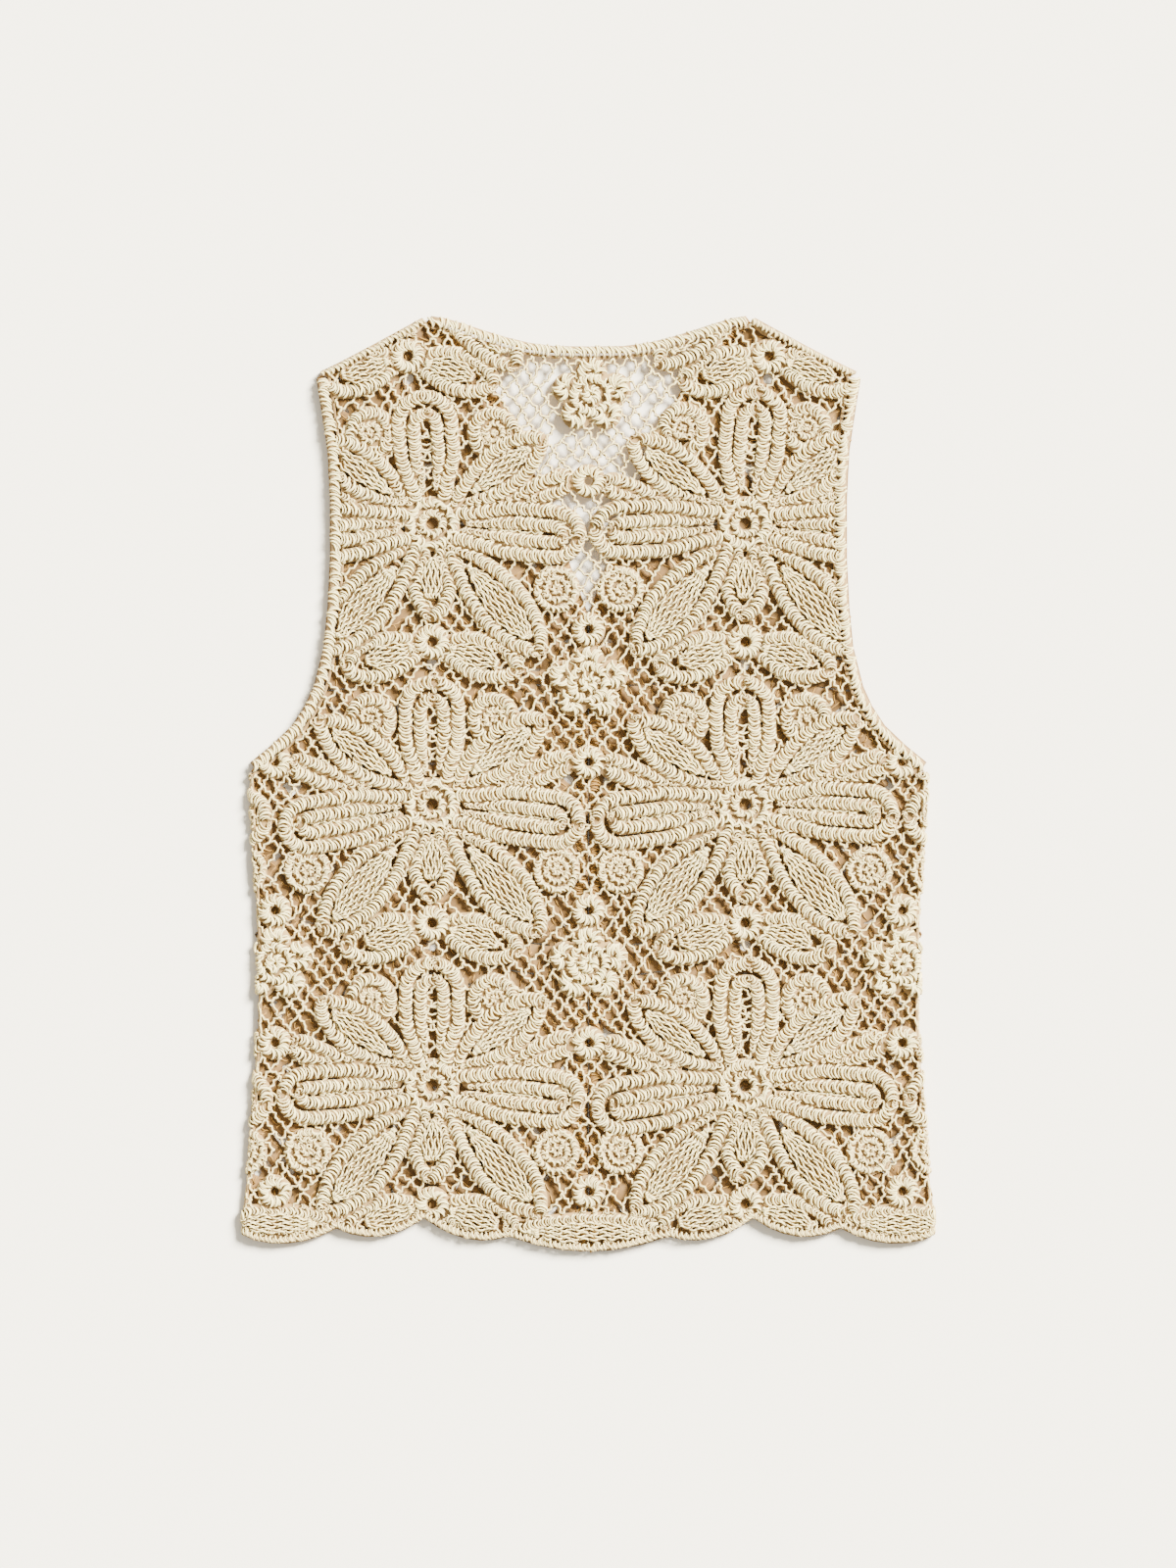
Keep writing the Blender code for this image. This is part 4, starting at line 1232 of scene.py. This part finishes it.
def shown_chains(chains, field, lace, allowed):
    """The chains of the net that cross open ground inside an outline, and no ring's hole."""
    t = np.linspace(0.0, 1.0, 7)[:, None]
    lines = np.array([chain[0] * (1.0 - t) + chain[1] * t for chain in chains])
    shown = field.at(lines).max(1) > 0.3 * MM
    within = inside(lines[..., 0], lines[..., 1], allowed)
    for piece in lace:
        if piece.kind in ("ring", "eye"):
            middle = piece.points.mean(0)
            radius = np.hypot(*(piece.points - middle).T).mean()
            away = np.hypot(lines[..., 0] - middle[0], lines[..., 1] - middle[1])
            shown &= away.min(1) > radius - 1.0 * MM
    kept = []
    for line, here in zip(lines[shown], within[shown]):
        first, last = longest_run(here)
        if last - first > 1:
            kept.append(line[[first, last]])
    return kept


def opened(field, chains, half):
    """The lace's field with thin ribbons under the chains of the net."""
    gapped = field.copy()
    for chain in chains:
        gapped.add_path(chain, half, False)
    return gapped


def back_net(lace, shown, cream):
    """The back's net, and the chains in its petals' slots."""
    yarn = Yarn()
    chains = shown + slot_chains(lace, back_outline())
    chain_yarn(chains, yarn, back_base, folded, CHAIN, CHAIN_HEIGHT)
    return yarn.piece("back_net", cream)


def front_pieces(side, lace, chains, field, tan):
    """One front: its shell, its stitches and its net. side is 1 at +X."""
    name = "right" if side > 0 else "left"
    flip = np.array((side, 1.0))
    shown = shown_chains(chains, field, lace, front_outline(all_in=1.0 * MM, side_in=3.0 * MM))
    rim = front_outline(all_in=0.1 * MM, side_in=2.6 * MM)
    holes = gaps(opened(field, shown, FRONT_CHAIN_HALF), rim)
    points, faces, area = shell(
        rim[::side] * flip, [hole[::side] * flip for hole in holes],
        raised(FRONT_SHELL[0]), raised(FRONT_SHELL[1]),
    )
    # The front's shell is painted the dark brown of painted shade that lies under its stitches
    lace_piece = mesh_piece(f"front_{name}_lace", points, faces, tan)
    ground = Ground(front_outline(all_in=0.5 * MM, side_in=1.5 * MM))
    work = Stitches(ground, FRONT_PITCH)
    lay_lace(lace, work)
    for piece in lace:
        if piece.kind == "core":
            n = len(piece.points) // 2
            line = (piece.points[: n + 1] + piece.points[n:][::-1]) / 2
            work.work(line, 5.0 * MM)
    stitches = work.all()
    stitches[:, [0, 2]] *= side
    yarn = Yarn()
    front_stitch_yarn(stitches, yarn)
    stitch_piece = yarn.piece(f"front_{name}_stitches", tan)
    yarn = Yarn()
    shown = [chain * flip for chain in shown]
    chain_yarn(shown, yarn, raised(0.0), unbent, FRONT_CHAIN, FRONT_THICK / 2, sides=3, points=4)
    net_piece = yarn.piece(f"front_{name}_net", tan)
    return lace_piece, stitch_piece, net_piece, area


def rope_piece(name, path, height, thick, slant, material):
    """A crocheted edging: slanted stitches over a flat core that is swept along its path."""
    middle = moved_in(path, EDGING / 2)
    yarn = Yarn()
    line = np.column_stack([middle, np.full(len(middle), height + thick * 0.42)])
    core = BACK_CORE if thick > FRONT_THICK else FRONT_CORE
    # Painted shade: the flat core under the edging's stitches is painted dark brown
    yarn.solid(*flat_band(line, EDGING * core, thick * 0.34), 0.2)
    work = Stitches(Ground(REACH * [(-1, -1), (-1, 1), (1, 1), (1, -1)]), ROPE_PITCH)
    line = moved_in(middle, ROPE_OVERHANG)
    work.work(line, EDGING / 2 + ROPE_OVERHANG, bow=0.9, slant=slant, mess=ROPE_MESS)
    crest = thick - 0.6 * MM
    stitch_yarn(work.all(), ROPE_STITCH, yarn, raised(height), unbent, foot=0.7 * MM, crest=crest)
    return yarn.piece(name, material)


def flat_band(line, half, rise):
    """A flat oval tube along a line in one plane: points and triangles."""
    sides = 8
    a = 2.0 * math.pi * np.arange(sides) / sides
    points = np.repeat(line[:, None], sides, axis=1)
    points[..., :2] += normals(line[:, :2])[:, None] * (half * np.cos(a))[None, :, None]
    points[..., 2] += rise * np.sin(a)
    return points.reshape(-1, 3), tube_faces(len(line), sides, False)


# The whole


def over_garment(lace):
    """The pieces that have some point over the garment."""
    return [piece for piece in lace if np.any((np.abs(piece.points) < REACH).all(1))]


def build():
    # cream_yarn has the yarn's own cream colour; the fronts' yarn is the same yarn painted darker and
    # browner as painted shade, since the fronts lie under the back
    cream = yarn_material("cream_yarn", (0.14, 0.073, 0.025), (0.43, 0.275, 0.095), (0.90, 0.78, 0.36), 0.10)
    tan = yarn_material("tan_yarn", (0.105, 0.062, 0.026), (0.235, 0.128, 0.036), (0.37, 0.20, 0.042), 0.02)
    lace = over_garment(motifs())
    field = lace_field(lace)
    chains = net_chains()
    shown = shown_chains(chains, field, lace, back_outline(side_out=4.0 * MM, all_in=0.8 * MM))

    rim = back_outline(side_out=-2.6 * MM, all_in=0.1 * MM)
    holes = gaps(opened(field, shown, CHAIN_HALF), rim)
    points, faces, area = shell(rim, holes, back_base, lambda x, y: back_base(x, y) + BACK_SHELL)
    # The back's shell is painted the dark brown of painted shade that lies under its strands
    back_lace = mesh_piece("back_lace", points, faces, cream)
    on_back = [*back_stitches(lace, field, cream), back_net(lace, shown, cream)]
    finish(back_lace, on_back, "back_panel")

    lowered = [piece._replace(points=piece.points - (0.0, FRONT_DROP)) for piece in motifs()]
    front_lace = over_garment(lowered)
    front_field = lace_field(front_lace)
    front_chains = net_chains(aside=NET_CELL[0] / 2)
    for side, name in ((1, "right"), (-1, "left")):
        lace_piece, *worked, area = front_pieces(side, front_lace, front_chains, front_field, tan)
        finish(lace_piece, worked, f"front_{name}_panel")

    neck = rope_piece("back_neck_rope", NECK_PATH, BACK_BASE, BACK_ROPE, ROPE_SLANT, cream)
    dressed(neck, "back_neck_edging")
    for name, flip in (("right", False), ("left", True)):
        arm = mirrored(ARMHOLE_PATH) if flip else ARMHOLE_PATH
        edge = mirrored(front_edge()[::-1]) if flip else front_edge()[::-1]
        slant = -ROPE_SLANT if flip else ROPE_SLANT
        made = (
            ("back_armhole", arm, BACK_BASE, BACK_ROPE, slant, cream, "edging"),
            ("front_armhole", arm, 0.0, FRONT_THICK, slant, tan, "edging"),
            ("front_edge", edge, 0.0, FRONT_THICK, 0.0, tan, "band"),
        )
        for start, path, height, thick, turn, yarn, end in made:
            piece = rope_piece(f"{start}_{name}_rope", path, height, thick, turn, yarn)
            dressed(piece, f"{start}_{end}_{name}")


def finish(cloth, worked, node):
    """Puts a panel's pieces in their solid's place."""
    for piece in (cloth, *worked):
        dressed(piece, node)
    low, high = extent(cloth)


def dressed(piece, node):
    """Puts a piece in its solid's place."""
    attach(piece, "root")
    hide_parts(node)


def extent(thing):
    """The lowest and highest corners of a piece's box."""
    points = np.empty(3 * len(thing.data.vertices), np.float32)
    thing.data.vertices.foreach_get("co", points)
    points = points.reshape(-1, 3).astype(float)
    return points.min(0), points.max(0)


def stage():
    """A pale floor, soft light from the upper right and a long-lens camera straight above."""
    bpy.ops.mesh.primitive_plane_add(size=16.0, location=(0.0, 0.0, -0.0002))
    floor = bpy.context.active_object
    floor.name = "floor"
    floor.data.materials.append(floor_material())

    world = bpy.data.worlds.new("studio")
    world.use_nodes = True
    sky = world.node_tree.nodes["Background"]
    sky.inputs["Color"].default_value = (1.0, 0.985, 0.96, 1.0)
    sky.inputs["Strength"].default_value = 0.86
    bpy.context.scene.world = world

    key = bpy.data.lights.new("key", "SUN")
    key.energy = 29.5
    key.angle = 0.37
    key.color = (1.0, 0.985, 0.95)
    lamp = bpy.data.objects.new("key", key)
    lamp.location = (1.5, 1.3, 1.4)
    lamp.rotation_euler = (Vector((0.0, 0.0, 0.0)) - lamp.location).to_track_quat("-Z", "Y").to_euler()
    bpy.context.scene.collection.objects.link(lamp)

    camera = bpy.data.cameras.new("camera")
    camera.sensor_fit = "VERTICAL"
    camera.sensor_height = 36.0
    camera.lens = 36.0 * CAMERA_HEIGHT / FRAME_HEIGHT
    camera.clip_end = 20.0
    eye = bpy.data.objects.new("camera", camera)
    eye.location = (-0.5 * PIXEL, -1.0 * PIXEL, CAMERA_HEIGHT)
    bpy.context.scene.collection.objects.link(eye)
    bpy.context.scene.camera = eye


build()
stage()
